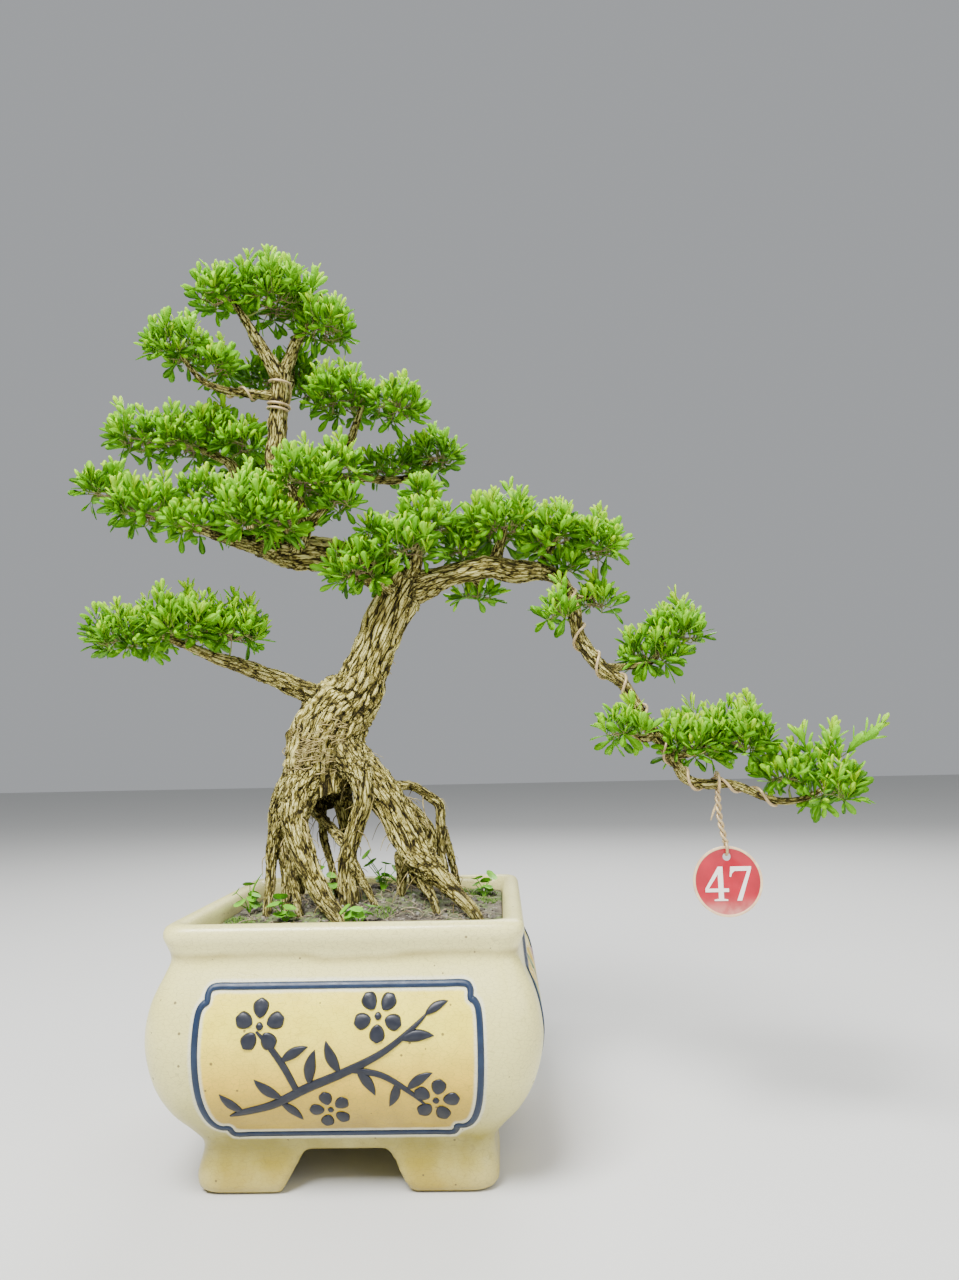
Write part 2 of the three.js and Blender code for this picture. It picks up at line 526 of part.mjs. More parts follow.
// A pad: cores joined in a row, with blades that stand out of them. They keep clear of the wood,
// the wires and the other pads, and a blade that would meet one leans away or is left out
function padSolid(name, blocker, finished) {
  const draw = seededDraw(501 + finished.length);
  const lobes = PADS[name];
  const names = Object.keys(PADS);
  const roomOf = (other) => padCores(other, 2 * GAP);
  const earlier = names.slice(0, finished.length).map(roomOf);
  const later = names.slice(finished.length + 1).map(roomOf);
  const around = roomAround(lobes);
  const core = largestBody(padCores(name, 0).subtract(joined([blocker, ...earlier]).intersect(around)));
  const obstacles = settled(joined([blocker, ...earlier, ...later, ...finished]).intersect(around));
  const blades = [];
  const tips = [];
  const tryBlade = (foot, direction, facing, length) => {
    for (let attempt = 0; attempt < BLADE_TRIES; attempt += 1) {
      const lean = new THREE.Vector3(draw() - 0.5, draw() - 0.5, draw() - 0.3);
      const aim = direction.clone().addScaledVector(lean, BLADE_LEAN * attempt).normalize();
      const tip = foot.clone().addScaledVector(aim, length);
      const guard = placedBlade(foot, aim, facing, length + GAP, 2 * GAP);
      const clear = isClear(guard, obstacles);
      guard.delete();
      if (clear && tips.every((other) => other.distanceTo(tip) > LEAF_SPACING)) {
        blades.push(placedBlade(foot, aim, facing, length));
        tips.push(tip);
        return;
      }
    }
  };
  for (const [pad, fx, fy, fz, tx, ty, tz] of LONG_SHOOTS) {
    if (pad === name) {
      const foot = new THREE.Vector3(fx, fy, fz);
      const reach = new THREE.Vector3(tx, ty, tz).sub(foot);
      blades.push(placedBlade(foot, reach, new THREE.Vector3(0.3, -1, 0.4), reach.length()));
    }
  }
  for (const lobe of lobes) {
    const centre = new THREE.Vector3(lobe[0], lobe[1], lobe[2]);
    const radii = new THREE.Vector3(lobe[3], lobe[4], lobe[5]);
    const size = (radii.x + radii.y + radii.z) / 3;
    const slimness = Math.min(1, size / FULL_LOBE);
    for (const direction of leafDirections(Math.round(size * LEAVES_PER_MM), draw)) {
      const skin = direction.clone().multiply(radii);
      const foot = skin.clone().multiplyScalar(CORE_SHARE * LEAF_FOOT).add(centre);
      const room = skin.length() * (LEAF_REACH - CORE_SHARE * LEAF_FOOT);
      const grown = LEAF_LENGTH * (LEAF_SHORTEST + LEAF_SPREAD * draw()) * slimness;
      const length = Math.min(grown, room);
      const sway = new THREE.Vector3(draw() - 0.5, draw() - 0.5, 0).multiplyScalar(LEAF_SWAY);
      const aim = direction.clone().add(sway).addScaledVector(UP, LEAF_LIFT).normalize();
      const tip = foot.clone().addScaledVector(aim, length * BURIED_SHARE);
      const buried = lobes.some((other) => other !== lobe && isInsideLobe(tip, other, BURIED_SHARE));
      const facing = new THREE.Vector3(draw() - 0.5, draw() - 0.5, draw() - 0.5);
      if (!buried) tryBlade(foot, aim, facing, length);
    }
  }
  return largestBody(joined([core, ...blades]));
}

// A wire wound round a limb, at the limb's radius and a little more. Its way is a list of step,
// angle in degrees and share of the limb, with straight runs between them
class WindingCurve extends THREE.Curve {
  constructor(points, { way, room }) {
    super();
    Object.assign(this, { frames: limbFrames(points, 240), way, room });
    this.arcLengthDivisions = way.at(-1)[0] * WINDING_STEPS;
  }

  getPoint(s, target = new THREE.Vector3()) {
    const step = s * this.way.at(-1)[0];
    const next = Math.max(1, this.way.findIndex(([end]) => end >= step - 1e-9));
    const [start, end] = [this.way[next - 1], this.way[next]];
    const run = (step - start[0]) / (end[0] - start[0]);
    const place = THREE.MathUtils.lerp(start[2], end[2], run) * (this.frames.length - 1);
    const low = Math.min(Math.floor(place), this.frames.length - 2);
    const [a, b] = [this.frames[low], this.frames[low + 1]];
    const part = place - low;
    const angle = THREE.MathUtils.degToRad(THREE.MathUtils.lerp(start[1], end[1], run));
    const bark = THREE.MathUtils.lerp(a.radius, b.radius, part) * (1 + RIDGE);
    const radius = (bark + WIRE_RADIUS + this.room) / Math.cos(Math.PI / WINDING_STEPS);
    const centre = a.point.clone().lerp(b.point, part);
    const normal = a.normal.clone().lerp(b.normal, part).normalize();
    const side = a.side.clone().lerp(b.side, part).normalize();
    target.copy(centre).addScaledVector(normal, Math.cos(angle) * radius);
    return target.addScaledVector(side, Math.sin(angle) * radius);
  }
}

function tubeSolid(curve, radius, sides, steps) {
  const section = new THREE.Shape();
  for (let i = 0; i < sides; i += 1) {
    const angle = (2 * Math.PI * i) / sides;
    const point = [Math.cos(angle) * radius, Math.sin(angle) * radius];
    if (i === 0) section.moveTo(...point);
    else section.lineTo(...point);
  }
  const settings = { steps, extrudePath: curve, bevelEnabled: false };
  const solid = solidOf(new THREE.ExtrudeGeometry(section, settings));
  if (solid.volume() <= 0) throw new Error('a tube is inside out');
  return solid;
}

const WINDINGS = {
  wire_cascade: { limb: 'cascade', way: [[0, 208, 0.055], [72, 3448, 0.86]], room: 0.7 },
  wire_apex: {
    limb: 'upper', room: 0.3,
    way: [[0, 24, 0.827], [15, -636, 0.876], [17, -696, 0.975], [21, -871, 0.988]],
  },
  wire_shoulder: { limb: 'shoulder_left', way: [[0, 23, 0.13], [12, 563, 0.42]], room: 0.5 },
};

function windingSolid(winding) {
  const curve = new WindingCurve(LIMBS[winding.limb], winding);
  return tubeSolid(curve, WIRE_RADIUS, 4, winding.way.at(-1)[0]);
}

// The tie: a ring over the branch, two strands twisted together, and a ring through the tag's hole
function tieSolid() {
  const over = new THREE.TorusGeometry(TIE_RING_RADIUS, WIRE_RADIUS, 4, 9);
  over.rotateY(Math.PI / 2);
  over.translate(TIE_BRANCH.x, TIE_BRANCH.y, TIE_BRANCH.z + TIE_RING_RISE);
  const wireInHole = TAG_CENTRE.z + TAG_HOLE_RISE + TAG_HOLE_RADIUS - WIRE_RADIUS - 0.3;
  const loopTop = TAG_CENTRE.z + TAG_RADIUS + WIRE_RADIUS + 1.2;
  const through = new THREE.TorusGeometry((loopTop - wireInHole) / 2, WIRE_RADIUS, 4, 8);
  through.rotateY(Math.PI / 2);
  through.scale(1, 0.75, 1);
  through.translate(TAG_CENTRE.x, TAG_CENTRE.y, (loopTop + wireInHole) / 2);
  const top = TIE_BRANCH.clone();
  top.z += TIE_RING_RISE - TIE_RING_RADIUS + 0.4;
  const bottom = new THREE.Vector3(TAG_CENTRE.x, TAG_CENTRE.y, loopTop - 0.4);
  const strands = [0, Math.PI].map((start) => {
    class Strand extends THREE.Curve {
      getPoint(s, target = new THREE.Vector3()) {
        const angle = start + 2 * Math.PI * TIE_TWISTS * s;
        target.copy(top).lerp(bottom, s);
        target.x += Math.cos(angle) * STRAND_OFFSET - TIE_SWAY * Math.sin(Math.PI * s);
        target.y += Math.sin(angle) * STRAND_OFFSET;
        return target;
      }
    }
    return tubeSolid(new Strand(), WIRE_RADIUS * 0.95, 4, TIE_TWISTS * 4);
  });
  const stubRoute = new THREE.LineCurve3(top.clone().add(new THREE.Vector3(-1, 0, -8)),
    top.clone().add(new THREE.Vector3(-6.5, -1.5, -21)));
  const stub = tubeSolid(stubRoute, WIRE_RADIUS * 0.9, 4, 1);
  return largestBody(joined([solidOf(over), solidOf(through), ...strands, stub]));
}

function tagSolid() {
  const disc = new THREE.Shape();
  disc.absarc(0, 0, TAG_RADIUS, 0, 2 * Math.PI);
  const hole = new THREE.Path();
  hole.absarc(0, TAG_HOLE_RISE, TAG_HOLE_RADIUS + 0.1, 0, 2 * Math.PI, true);
  disc.holes.push(hole);
  const geometry = new THREE.ExtrudeGeometry(disc, {
    depth: TAG_THICKNESS, bevelEnabled: false, curveSegments: 12,
  });
  geometry.translate(0, 0, -TAG_THICKNESS / 2);
  geometry.rotateX(Math.PI / 2);
  geometry.translate(TAG_CENTRE.x, TAG_CENTRE.y, TAG_CENTRE.z);
  return solidOf(geometry);
}

// A weed: thin stems from one foot in the soil, each with a small round leaf, and a grass blade on one
function weedSolid({ foot, stems, blade }, extra = 0) {
  const [x, y] = foot;
  const ground = SOIL_EDGE + soilRise(x, y);
  const root = new THREE.Vector3(x, y, ground - 9);
  const crown = new THREE.Vector3(x, y, ground - 1);
  const collar = new THREE.Vector3(x, y, ground + 0.5);
  const made = [tubeSolid(new THREE.LineCurve3(root, collar), WEED_FOOT_RADIUS + extra, 4, 1)];
  for (const [dx, dy, dz] of stems) {
    const end = new THREE.Vector3(x + dx, y + dy, ground + dz);
    const bend = new THREE.Vector3(x + dx * 0.35, y + dy * 0.35, ground + dz * 0.62);
    const stem = new THREE.QuadraticBezierCurve3(crown, bend, end);
    made.push(tubeSolid(stem, WEED_STEM_RADIUS + extra, 3, 2));
    const leaf = new THREE.SphereGeometry(1, 6, 2);
    leaf.rotateX(Math.PI / 2);
    leaf.scale(WEED_LEAF_RADIUS + extra, WEED_LEAF_RADIUS + extra, 1.2 + extra);
    leaf.rotateY(Math.atan2(dx, 14));
    leaf.rotateX(-Math.atan2(dy, 14));
    leaf.translate(end.x, end.y, end.z);
    made.push(solidOf(leaf));
  }
  if (blade) {
    const reach = new THREE.Vector3(...blade);
    const facing = new THREE.Vector3(0.2, -1, 0.2);
    made.push(placedBlade(crown, reach, facing, reach.length(), 2 * extra, GRASS_WIDTH));
  }
  return largestBody(joined(made));
}

const model = new THREE.Group();

function addPiece(name, solid, material) {
  const mesh = new THREE.Mesh(geometryOf(solid), material.clone());
  mesh.name = name;
  model.add(mesh);
}

const wood = woodSolid(0);
const woodRoom = woodSolid(GAP);
const windings = Object.entries(WINDINGS).map(([name, winding]) => [name, windingSolid(winding)]);
const tie = tieSolid();
const weeds = Object.entries(WEEDS).map(([name, weed]) => [name, weedSolid(weed)]);
const weedRoom = Object.values(WEEDS).map((weed) => weedSolid(weed, GAP));

addPiece('pot', potSolid(), MATERIALS.glaze);
addPiece('soil', soilSolid([woodRoom, ...weedRoom]), MATERIALS.soil);
addPiece('trunk_roots_branches', wood, MATERIALS.bark);

const pads = [];
const blocker = settled(joined([woodRoom, ...windings.map(([, solid]) => solid), tie]));
Object.keys(PADS).forEach((name, i) => {
  pads.push(padSolid(name, blocker, pads));
  const dark = name === 'upper_back' || name === 'right_back' || name === 'back';
  addPiece(`foliage_${name}`, pads[i], dark ? MATERIALS.leaf_dark : MATERIALS.leaf);
});

for (const [name, solid] of weeds) addPiece(name, solid, MATERIALS.weed);
for (const [name, solid] of windings) addPiece(name, solid, MATERIALS.wire);
addPiece('tag_tie', tie, MATERIALS.wire);
addPiece('tag_disc', tagSolid(), MATERIALS.tag);

const extent = new THREE.Box3().setFromObject(model);
model.position.set(-(extent.min.x + extent.max.x) / 2, -(extent.min.y + extent.max.y) / 2, 0);

export default model;
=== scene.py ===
# A boxwood bonsai in its square glazed pot: the fine surface of every piece
import math
import random

import bmesh
import bpy
import numpy as np
from bpy.props import FloatProperty, FloatVectorProperty, PointerProperty, StringProperty
from mathutils import Matrix, Vector, noise


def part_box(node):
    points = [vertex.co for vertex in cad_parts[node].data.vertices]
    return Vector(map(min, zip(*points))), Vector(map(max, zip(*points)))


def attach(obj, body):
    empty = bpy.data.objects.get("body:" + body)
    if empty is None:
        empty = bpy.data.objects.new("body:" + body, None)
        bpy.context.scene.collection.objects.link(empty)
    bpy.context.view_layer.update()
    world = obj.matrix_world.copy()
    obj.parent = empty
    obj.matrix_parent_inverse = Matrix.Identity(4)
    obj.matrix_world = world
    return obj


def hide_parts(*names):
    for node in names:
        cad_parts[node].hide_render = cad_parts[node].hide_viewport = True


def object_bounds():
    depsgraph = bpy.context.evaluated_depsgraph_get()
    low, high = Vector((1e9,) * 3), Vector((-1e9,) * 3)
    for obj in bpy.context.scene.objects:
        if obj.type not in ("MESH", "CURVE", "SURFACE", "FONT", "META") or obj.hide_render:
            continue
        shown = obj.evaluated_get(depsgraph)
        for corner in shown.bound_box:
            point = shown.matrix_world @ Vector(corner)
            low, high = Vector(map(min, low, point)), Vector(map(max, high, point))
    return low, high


bl_info = {
    "name": "Boxwood bonsai",
    "version": (1, 0, 0),
    "blender": (4, 5, 0),
    "location": "3D View > Sidebar > Bonsai",
    "description": "Builds a boxwood bonsai with exposed roots in a square glazed pot",
    "category": "Add Mesh",
}

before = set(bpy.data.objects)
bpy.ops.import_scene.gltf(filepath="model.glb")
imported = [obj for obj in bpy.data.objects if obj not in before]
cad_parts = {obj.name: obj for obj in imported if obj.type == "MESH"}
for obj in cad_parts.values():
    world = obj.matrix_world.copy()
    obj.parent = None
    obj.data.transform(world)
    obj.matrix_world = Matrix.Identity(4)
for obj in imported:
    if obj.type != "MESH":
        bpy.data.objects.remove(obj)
CAD_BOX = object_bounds()

MM = 0.001
UP = np.array((0.0, 0.0, 1.0))
POT_LOW, POT_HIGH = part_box("pot")
POT_MIDDLE = np.array(((POT_LOW.x + POT_HIGH.x) / 2, (POT_LOW.y + POT_HIGH.y) / 2, 0.0))

# All the tables below are in millimetres from the middle of the pot's foot: +X to the right,
# +Y away from the front, +Z up

# Limbs: places along each centre line with the wood's radius there, [x, y, z, radius]
LIMBS = {
    "trunk": [[-37, 6, 268, 27], [-36, 5, 291, 30], [-26, 4, 317, 28], [-8, 2, 339, 21], [5, 0, 368, 17.5],
        [17, -2, 395, 17.5], [29, -3, 419, 18]],
    "left_main": [[28, -3, 417, 15], [10, 0, 436, 15], [-14, 2, 447, 15], [-40, 0, 453, 14.5],
        [-62, -5, 454, 13.5], [-81, -10, 458, 9], [-104, -18, 467, 6], [-138, -28, 472, 4.2],
        [-173, -34, 481, 2.6]],
    "upper": [[-54, -4, 455, 12], [-63, 2, 477, 10.5], [-71, 7, 502, 9.5], [-78, 9, 534, 9],
        [-77, 8, 565, 8], [-75, 6, 591, 7.8], [-74, 5, 608, 7.6]],
    "top_left_arm": [[-74, 5, 605, 6.8], [-82, 2, 623, 6.2], [-92, -1, 640, 5.2], [-101, -6, 656, 3.8],
        [-113, -10, 675, 2.4]],
    "top_right_arm": [[-75, 6, 605, 6], [-68, 10, 627, 5.3], [-61, 12, 648, 4.6], [-49, 14, 669, 3.2],
        [-41, 12, 689, 2.2]],
    "shoulder_left": [[-77, 6, 594, 5], [-94, 0, 594, 3.8], [-115, -8, 594, 3.4], [-133, -12, 600, 2.8],
        [-148, -12, 616, 2.2], [-156, -12, 630, 1.8]],
    "shoulder_back": [[-76, 8, 590, 4.6], [-74, 26, 606, 3.8], [-73, 44, 625, 3], [-76, 56, 642, 2.2]],
    "right_high": [[-78, 10, 544, 5], [-54, 18, 547, 4.4], [-29, 22, 551, 4], [-17, 22, 559, 3.8],
        [-11, 18, 572, 3.2], [-3, 12, 589, 2.2]],
    "right_mid": [[-72, 10, 505, 6], [-45, 34, 522, 5], [-15, 52, 535, 4.4], [15, 60, 534, 3.8],
        [41, 62, 540, 3], [54, 60, 556, 2]],
    "back": [[-70, 8, 500, 5.6], [-78, 38, 515, 4.6], [-86, 66, 528, 3.6], [-92, 80, 542, 2.4]],
    "left_high": [[-85, -8, 458, 7.5], [-99, 4, 488, 6], [-111, 12, 516, 5.6], [-118, 14, 536, 4.6],
        [-138, 12, 548, 3.4], [-166, 10, 559, 2.2]],
    "front_pad_a": [[-55, -12, 457, 8.5], [-46, -28, 470, 6], [-46, -42, 483, 4.6], [-52, -50, 498, 3]],
    "front_pad_b": [[-45, -27, 469, 5], [-30, -36, 478, 4], [-20, -38, 493, 3], [-16, -32, 512, 2.2]],
    "left_front": [[-84, -12, 457, 6.5], [-102, -34, 458, 4.6], [-122, -52, 463, 3.2],
        [-141, -56, 474, 2.2]],
    "crown_stub": [[31, -5, 422, 9], [40, -14, 435, 6.4], [45, -22, 448, 5.2], [50, -20, 464, 3.4]],
    "crown_low": [[26, -14, 417, 6], [15, -26, 423, 4.2], [2, -30, 433, 3]],
    "right_main": [[29, -3, 418, 15], [43, -4, 422, 12.5], [66, -6, 430, 9.8], [87, -8, 434, 9],
        [106, -10, 436, 9.2], [122, -12, 432, 9.6], [137, -16, 431, 8], [150, -20, 429, 6.4]],
    "right_stub": [[107, -10, 438, 6], [111, -8, 454, 4.4], [116, -8, 470, 3]],
    "right_tip_stub": [[143, -16, 432, 5], [150, -12, 446, 3.8], [158, -12, 460, 2.6]],
    "under_twig": [[88, -6, 432, 4], [91, 4, 428, 3], [93, 12, 424, 2]],
    "cascade": [[147, -19, 430, 7], [158, -23, 423, 5.8], [164, -25, 411, 5.6], [169, -27, 394, 5.5],
        [171, -29, 378, 5.3], [178, -31, 363, 5.3], [189, -34, 349, 5.2], [203, -38, 337, 4.8],
        [211, -42, 323, 4.5], [220, -46, 306, 4.3], [229, -50, 290, 4], [237, -53, 277, 3.8],
        [245, -56, 264, 4], [259, -58, 260, 3.5], [275, -61, 260, 3.3], [286, -63, 256, 3],
        [296, -65, 251, 2.9], [314, -68, 247, 2.6], [331, -70, 251, 2.2], [348, -70, 262, 1.7]],
    "cascade_spray_twig_a": [[165, -26, 414, 3.4], [158, -33, 409, 2.4], [154, -36, 400, 1.8]],
    "cascade_spray_twig_b": [[165, -26, 410, 3.4], [178, -20, 407, 2.6], [190, -14, 411, 1.8]],
    "cascade_side": [[191, -34, 349, 4], [203, -32, 350, 3.1], [218, -30, 352, 3], [230, -28, 356, 2.6],
        [236, -28, 369, 1.9]],
    "cascade_fork": [[233, -52, 281, 3.6], [246, -54, 282, 3], [259, -54, 286, 2.8], [270, -52, 297, 2]],
    "cascade_left": [[225, -48, 296, 3.4], [215, -52, 294, 2.6], [204, -56, 300, 1.9]],
    "low_left": [[-24, 2, 322, 13], [-39, -1, 334, 9], [-57, -5, 342, 7.9], [-74, -9, 350, 7],
        [-88, -12, 355, 6.6], [-100, -15, 360, 6], [-121, -20, 367, 4.6], [-141, -25, 376, 3.4],
        [-166, -27, 386, 2.4]],
    "root_front_left": [[-39, -4, 277, 19], [-50, -12, 258, 14.5], [-53, -20, 237, 10.5],
        [-47, -27, 218, 9.4], [-37, -36, 198, 8.2], [-25, -45, 180, 7.2], [-13, -54, 168, 5.5],
        [-8, -58, 156, 3]],
    "root_outer_left": [[-55, 3, 270, 14], [-68.5, 2, 249, 9.5], [-73, 0, 230, 6.6], [-75, -5, 211, 4.8],
        [-74, -12, 191, 4], [-74, -20, 171, 3.5], [-74, -24, 155, 2.4]],
    "root_second_left": [[-59, 8, 259, 9], [-69, 6, 229, 6.2], [-67, 2, 211, 5.2], [-63, -4, 189, 4.4],
        [-62, -12, 169, 3.6], [-62, -16, 152, 2.4]],
    "root_small_left": [[-51, -20, 216, 5], [-53, -27, 195, 3.8], [-48, -36, 180, 3.4],
        [-42, -44, 160, 2.6]],
    "root_inner_thin": [[-43, 16, 265, 8], [-40, 18, 241, 4.4], [-37, 15, 218, 3.5], [-30, 9, 198, 3.1],
        [-26, 4, 178, 2.9], [-24, 2, 158, 2]],
    "root_front_centre": [[-13, -10, 286, 15], [-2, -18, 267, 9], [0, -20, 250, 7.6], [-6, -18, 231, 6.8],
        [-12, -16, 211, 7.2], [-14, -16, 193, 6.8], [-11, -19, 177, 8], [-10, -20, 157, 5]],
    "root_centre_side": [[-11, -16, 207, 5], [-2, -21, 193, 3.4], [6, -26, 180, 2.8], [14, -31, 166, 2.2],
        [18, -34, 156, 1.6]],
    "root_brace": [[-45, 18, 241, 4.5], [-30, 4, 229, 4], [-15, -14, 217, 4.4]],
    "root_big_right": [[-20, 0, 291, 15], [5, -4, 266, 15], [21, -8, 245, 13], [33, -12, 223, 12.4],
        [42, -16, 207, 13], [57, -25, 196, 8.4], [72, -37, 182, 6], [86, -51, 170, 4.6], [95, -58, 157, 3]],
    "root_knot_front": [[39, -15, 203, 8], [44, -20, 190, 4.6], [53, -28, 179, 3.6], [60, -38, 160, 2.6]],
    "root_knot_back": [[30, -8, 205, 7], [28, -2, 188, 4.2], [26, 2, 160, 3]],
    "root_loop_high": [[1, 10, 264, 8], [19, 15, 261, 4.6], [35, 20, 260, 4], [48.5, 24, 251, 4],
        [56, 26, 244.5, 4.2], [57.4, 26, 231.6, 4], [57.2, 24, 211, 3.8], [60, 22, 192, 3.8],
        [64, 20, 171, 3.6], [66, 20, 152, 2.6]],
    "root_loop_low": [[13, 6, 259, 8], [27, 10, 248, 5.7], [40, 14, 236, 5.5], [49, 16, 224, 5],
        [50, 14, 208, 4.5], [48, 8, 190, 4.2], [49, 2, 172, 3.6], [50, 0, 156, 2.6]],
    "root_far_right": [[60, 29, 223, 3.4], [64, 33, 206, 3.3], [68, 36, 188, 3.1], [72, 39, 169, 3],
        [74, 41, 152, 2]],
    "root_back_centre": [[-33, 18, 281, 17], [-26, 36, 249, 9], [-22, 50, 206, 6], [-21, 62, 171, 4.6],
        [-20, 68, 149, 3]],
    "root_back_left": [[-48, 16, 271, 13], [-62, 36, 237, 8], [-67, 48, 203, 6], [-67, 60, 172, 4.4],
        [-67, 66, 151, 3]],
    "root_back_right": [[-6, 16, 276, 14], [16, 36, 242, 8], [29, 50, 205, 6], [33, 60, 172, 4.6],
        [34, 66, 150, 3]],
}

# Leaf pads: rounded lobes that overlap in each pad, [x, y, z, radius x, radius y, radius z]
PADS = {
    "low_left": [[-184, -28, 390, 34, 42, 28], [-137, -32, 396, 37, 50, 31], [-103, -20, 394, 27, 34, 27]],
    "mid_left_low": [[-205, -36, 507, 22, 26, 20], [-165, -44, 488, 32, 40, 26],
        [-126, -52, 473, 23, 30, 19], [-128, -36, 503, 17, 22, 17]],
    "mid_left_high": [[-194, 6, 565, 27, 34, 24], [-156, 12, 563, 31, 42, 29], [-133, 14, 575, 19, 30, 26],
        [-110, 12, 560, 24, 30, 21]],
    "front_low": [[-83, -52, 483, 27, 32, 37], [-62, -48, 474, 25, 28, 21]],
    "front_high": [[-42, -44, 510, 30, 34, 28], [-16, -30, 525, 19, 24, 23], [-14, -42, 488, 15, 20, 14]],
    "upper_left": [[-157, -12, 638, 29, 32, 27], [-127, -6, 623, 22, 26, 22]],
    "top": [[-121, -8, 686, 30, 32, 24], [-82, 4, 690, 37, 48, 33], [-37, 10, 664, 26, 36, 26]],
    "upper_back": [[-103, 52, 637, 22, 26, 24], [-77, 60, 644, 22, 26, 26], [-64, 60, 626, 15, 20, 20]],
    "upper_right": [[-23, 16, 602, 31, 40, 29], [24, 12, 591, 27, 34, 25]],
    "right_back": [[16, 58, 551, 31, 28, 20], [54, 60, 561, 27, 28, 26]],
    "back": [[-112, 78, 553, 32, 30, 28], [-72, 84, 530, 32, 30, 28]],
    "crown_left": [[1, -26, 440, 32, 32, 27], [38, -32, 456, 27, 30, 27], [14, -28, 466, 16, 20, 14]],
    "crown_right": [[53, -10, 478, 28, 34, 26], [80, 4, 464, 20, 30, 27], [48, -8, 506, 12, 16, 15]],
    "right": [[114, -10, 477, 35, 46, 28], [154, -14, 465, 31, 44, 28], [190, -18, 457, 21, 36, 27],
        [165, -18, 438, 15, 20, 12]],
    "under_right": [[92, 14, 421, 20, 20, 12]],
    "cascade_spray_a": [[156, -37, 400, 12, 14, 23]],
    "cascade_spray_b": [[187, -14, 409, 18, 18, 20]],
    "cascade_bud": [[230, -28, 367, 27, 28, 26], [250, -26, 383, 23, 26, 28]],
    "cascade_left": [[202, -56, 307, 19, 22, 22]],
    "cascade_mid": [[254, -44, 296, 28, 34, 28], [287, -50, 300, 24, 34, 32]],
    "cascade_tip": [[316, -62, 272, 23, 26, 20], [344, -68, 264, 25, 28, 29]],
}

# Long single shoots that stand out of a pad: pad, foot and tip
LONG_SHOOTS = [
    ("cascade_tip", (352, -68, 276), (392, -66, 305)),
    ("cascade_tip", (345, -68, 276), (352, -66, 302)),
    ("cascade_tip", (335, -68, 272), (326, -66, 298)),
    ("mid_left_high", (-196, 6, 568), (-214, 4, 588)),
    ("mid_left_low", (-206, -36, 503), (-226, -36, 509)),
    ("top", (-84, 4, 700), (-85, 4, 727)),
    ("top", (-50, 8, 680), (-44, 8, 709)),
]

# Training wires: the limb and the way round it, as steps, angles in degrees and shares of the limb
WINDINGS = {
    "wire_cascade": {"limb": "cascade", "way": [(0, 208, 0.055), (72, 3448, 0.86)]},
    "wire_apex": {"limb": "upper", "way": [(0, 24, 0.827), (15, -636, 0.876), (17, -696, 0.975),
                                           (21, -871, 0.988)]},
    "wire_shoulder": {"limb": "shoulder_left", "way": [(0, 23, 0.13), (12, 563, 0.42)]},
}

# Pot: half width and height, from the foot up over the rim, and down inside to the floor
POT_OUTSIDE = [(97.5, 0), (100.5, 3), (101.5, 11), (98.5, 29), (104.5, 39), (118.5, 55),
               (129, 75), (134, 99), (130.8, 122), (122, 143), (117.5, 153), (119.5, 161),
               (122, 168), (120.6, 174), (117.5, 176)]
POT_INSIDE = [(88, 38), (114.5, 62), (125.5, 98), (120, 129), (108.5, 152), (107, 163),
              (107.5, 170), (110.5, 176), (113, 180)]
RIM_TOP = 176
FOOT_RECESS_HALF = 77
FOOT_RECESS_TOP = 24
ARCH_TOP = 26
ARCH_HALF_TOP = 28
ARCH_HALF_BOTTOM = 43
RELIEF_ROOM = 1.3
RELIEF_RISE = 1.2
WALL_DEPTH = 6

# Panel on each face: its right edge with the corner notches, as half width and height
PANEL_EDGE = [(72, 40), (74, 42.5), (74.8, 45.5), (78.6, 45.3), (82.4, 47), (85.5, 51),
              (88, 57.5), (89.8, 66), (91, 80), (91.4, 94), (91.3, 108), (90.7, 120),
              (89.5, 125.5), (87.4, 128.3), (85.4, 129.4), (85.4, 133.6), (84, 136.8), (80.5, 138)]
PANEL_LINE = 2.2

# Bark: its seed, how much longer than wide its plates are, and how many dead rootlets hang and cling
BARK_SEED = 5
BARK_STRETCH = 6.5
HANGING_ROOTLETS = 260
CLINGING_ROOTLETS = 90

# Foliage: the turn from one shoot of a lobe to the next, and how far a lobe reaches into its neighbour
GOLDEN_ANGLE = math.pi * (3 - math.sqrt(5))
LOBE_OVERLAP = 0.74

# Soil
SOIL_EDGE = 163
SOIL_MOUND = 16
SOIL_HALF = 106.3
SOIL_STEPS = 88
LITTER_HALF = 103
DEAD_ROOTS = 210

# The soil's side, as half width and height, a hair inside the pot's wall
SOIL_SIDE = [(107.9, 150), (119.4, 128), (124.9, 98), (113.9, 62), (87.4, 39)]

# Tag and its tie
TAG_MIDDLE = np.array((270.0, -61.0, 190.5))
TAG_RADIUS = 25
TAG_THICKNESS = 1.6
TAG_HOLE_RADIUS = 2.9
TAG_HOLE_RISE = 17.5
TIE_BRANCH = np.array((266.5, -59.5, 260.0))
TIE_RING_RADIUS = 6.8
TIE_RING_RISE = 1.5
TIE_TWISTS = 3
STRAND_OFFSET = 1.35
TIE_SWAY = 1.6
WIRE_RADIUS = 1.15
NUMERAL_HEIGHT = 24
NUMERAL_DROP = 13.5
NUMERAL_LEFTS = (-17.0, 0.6)

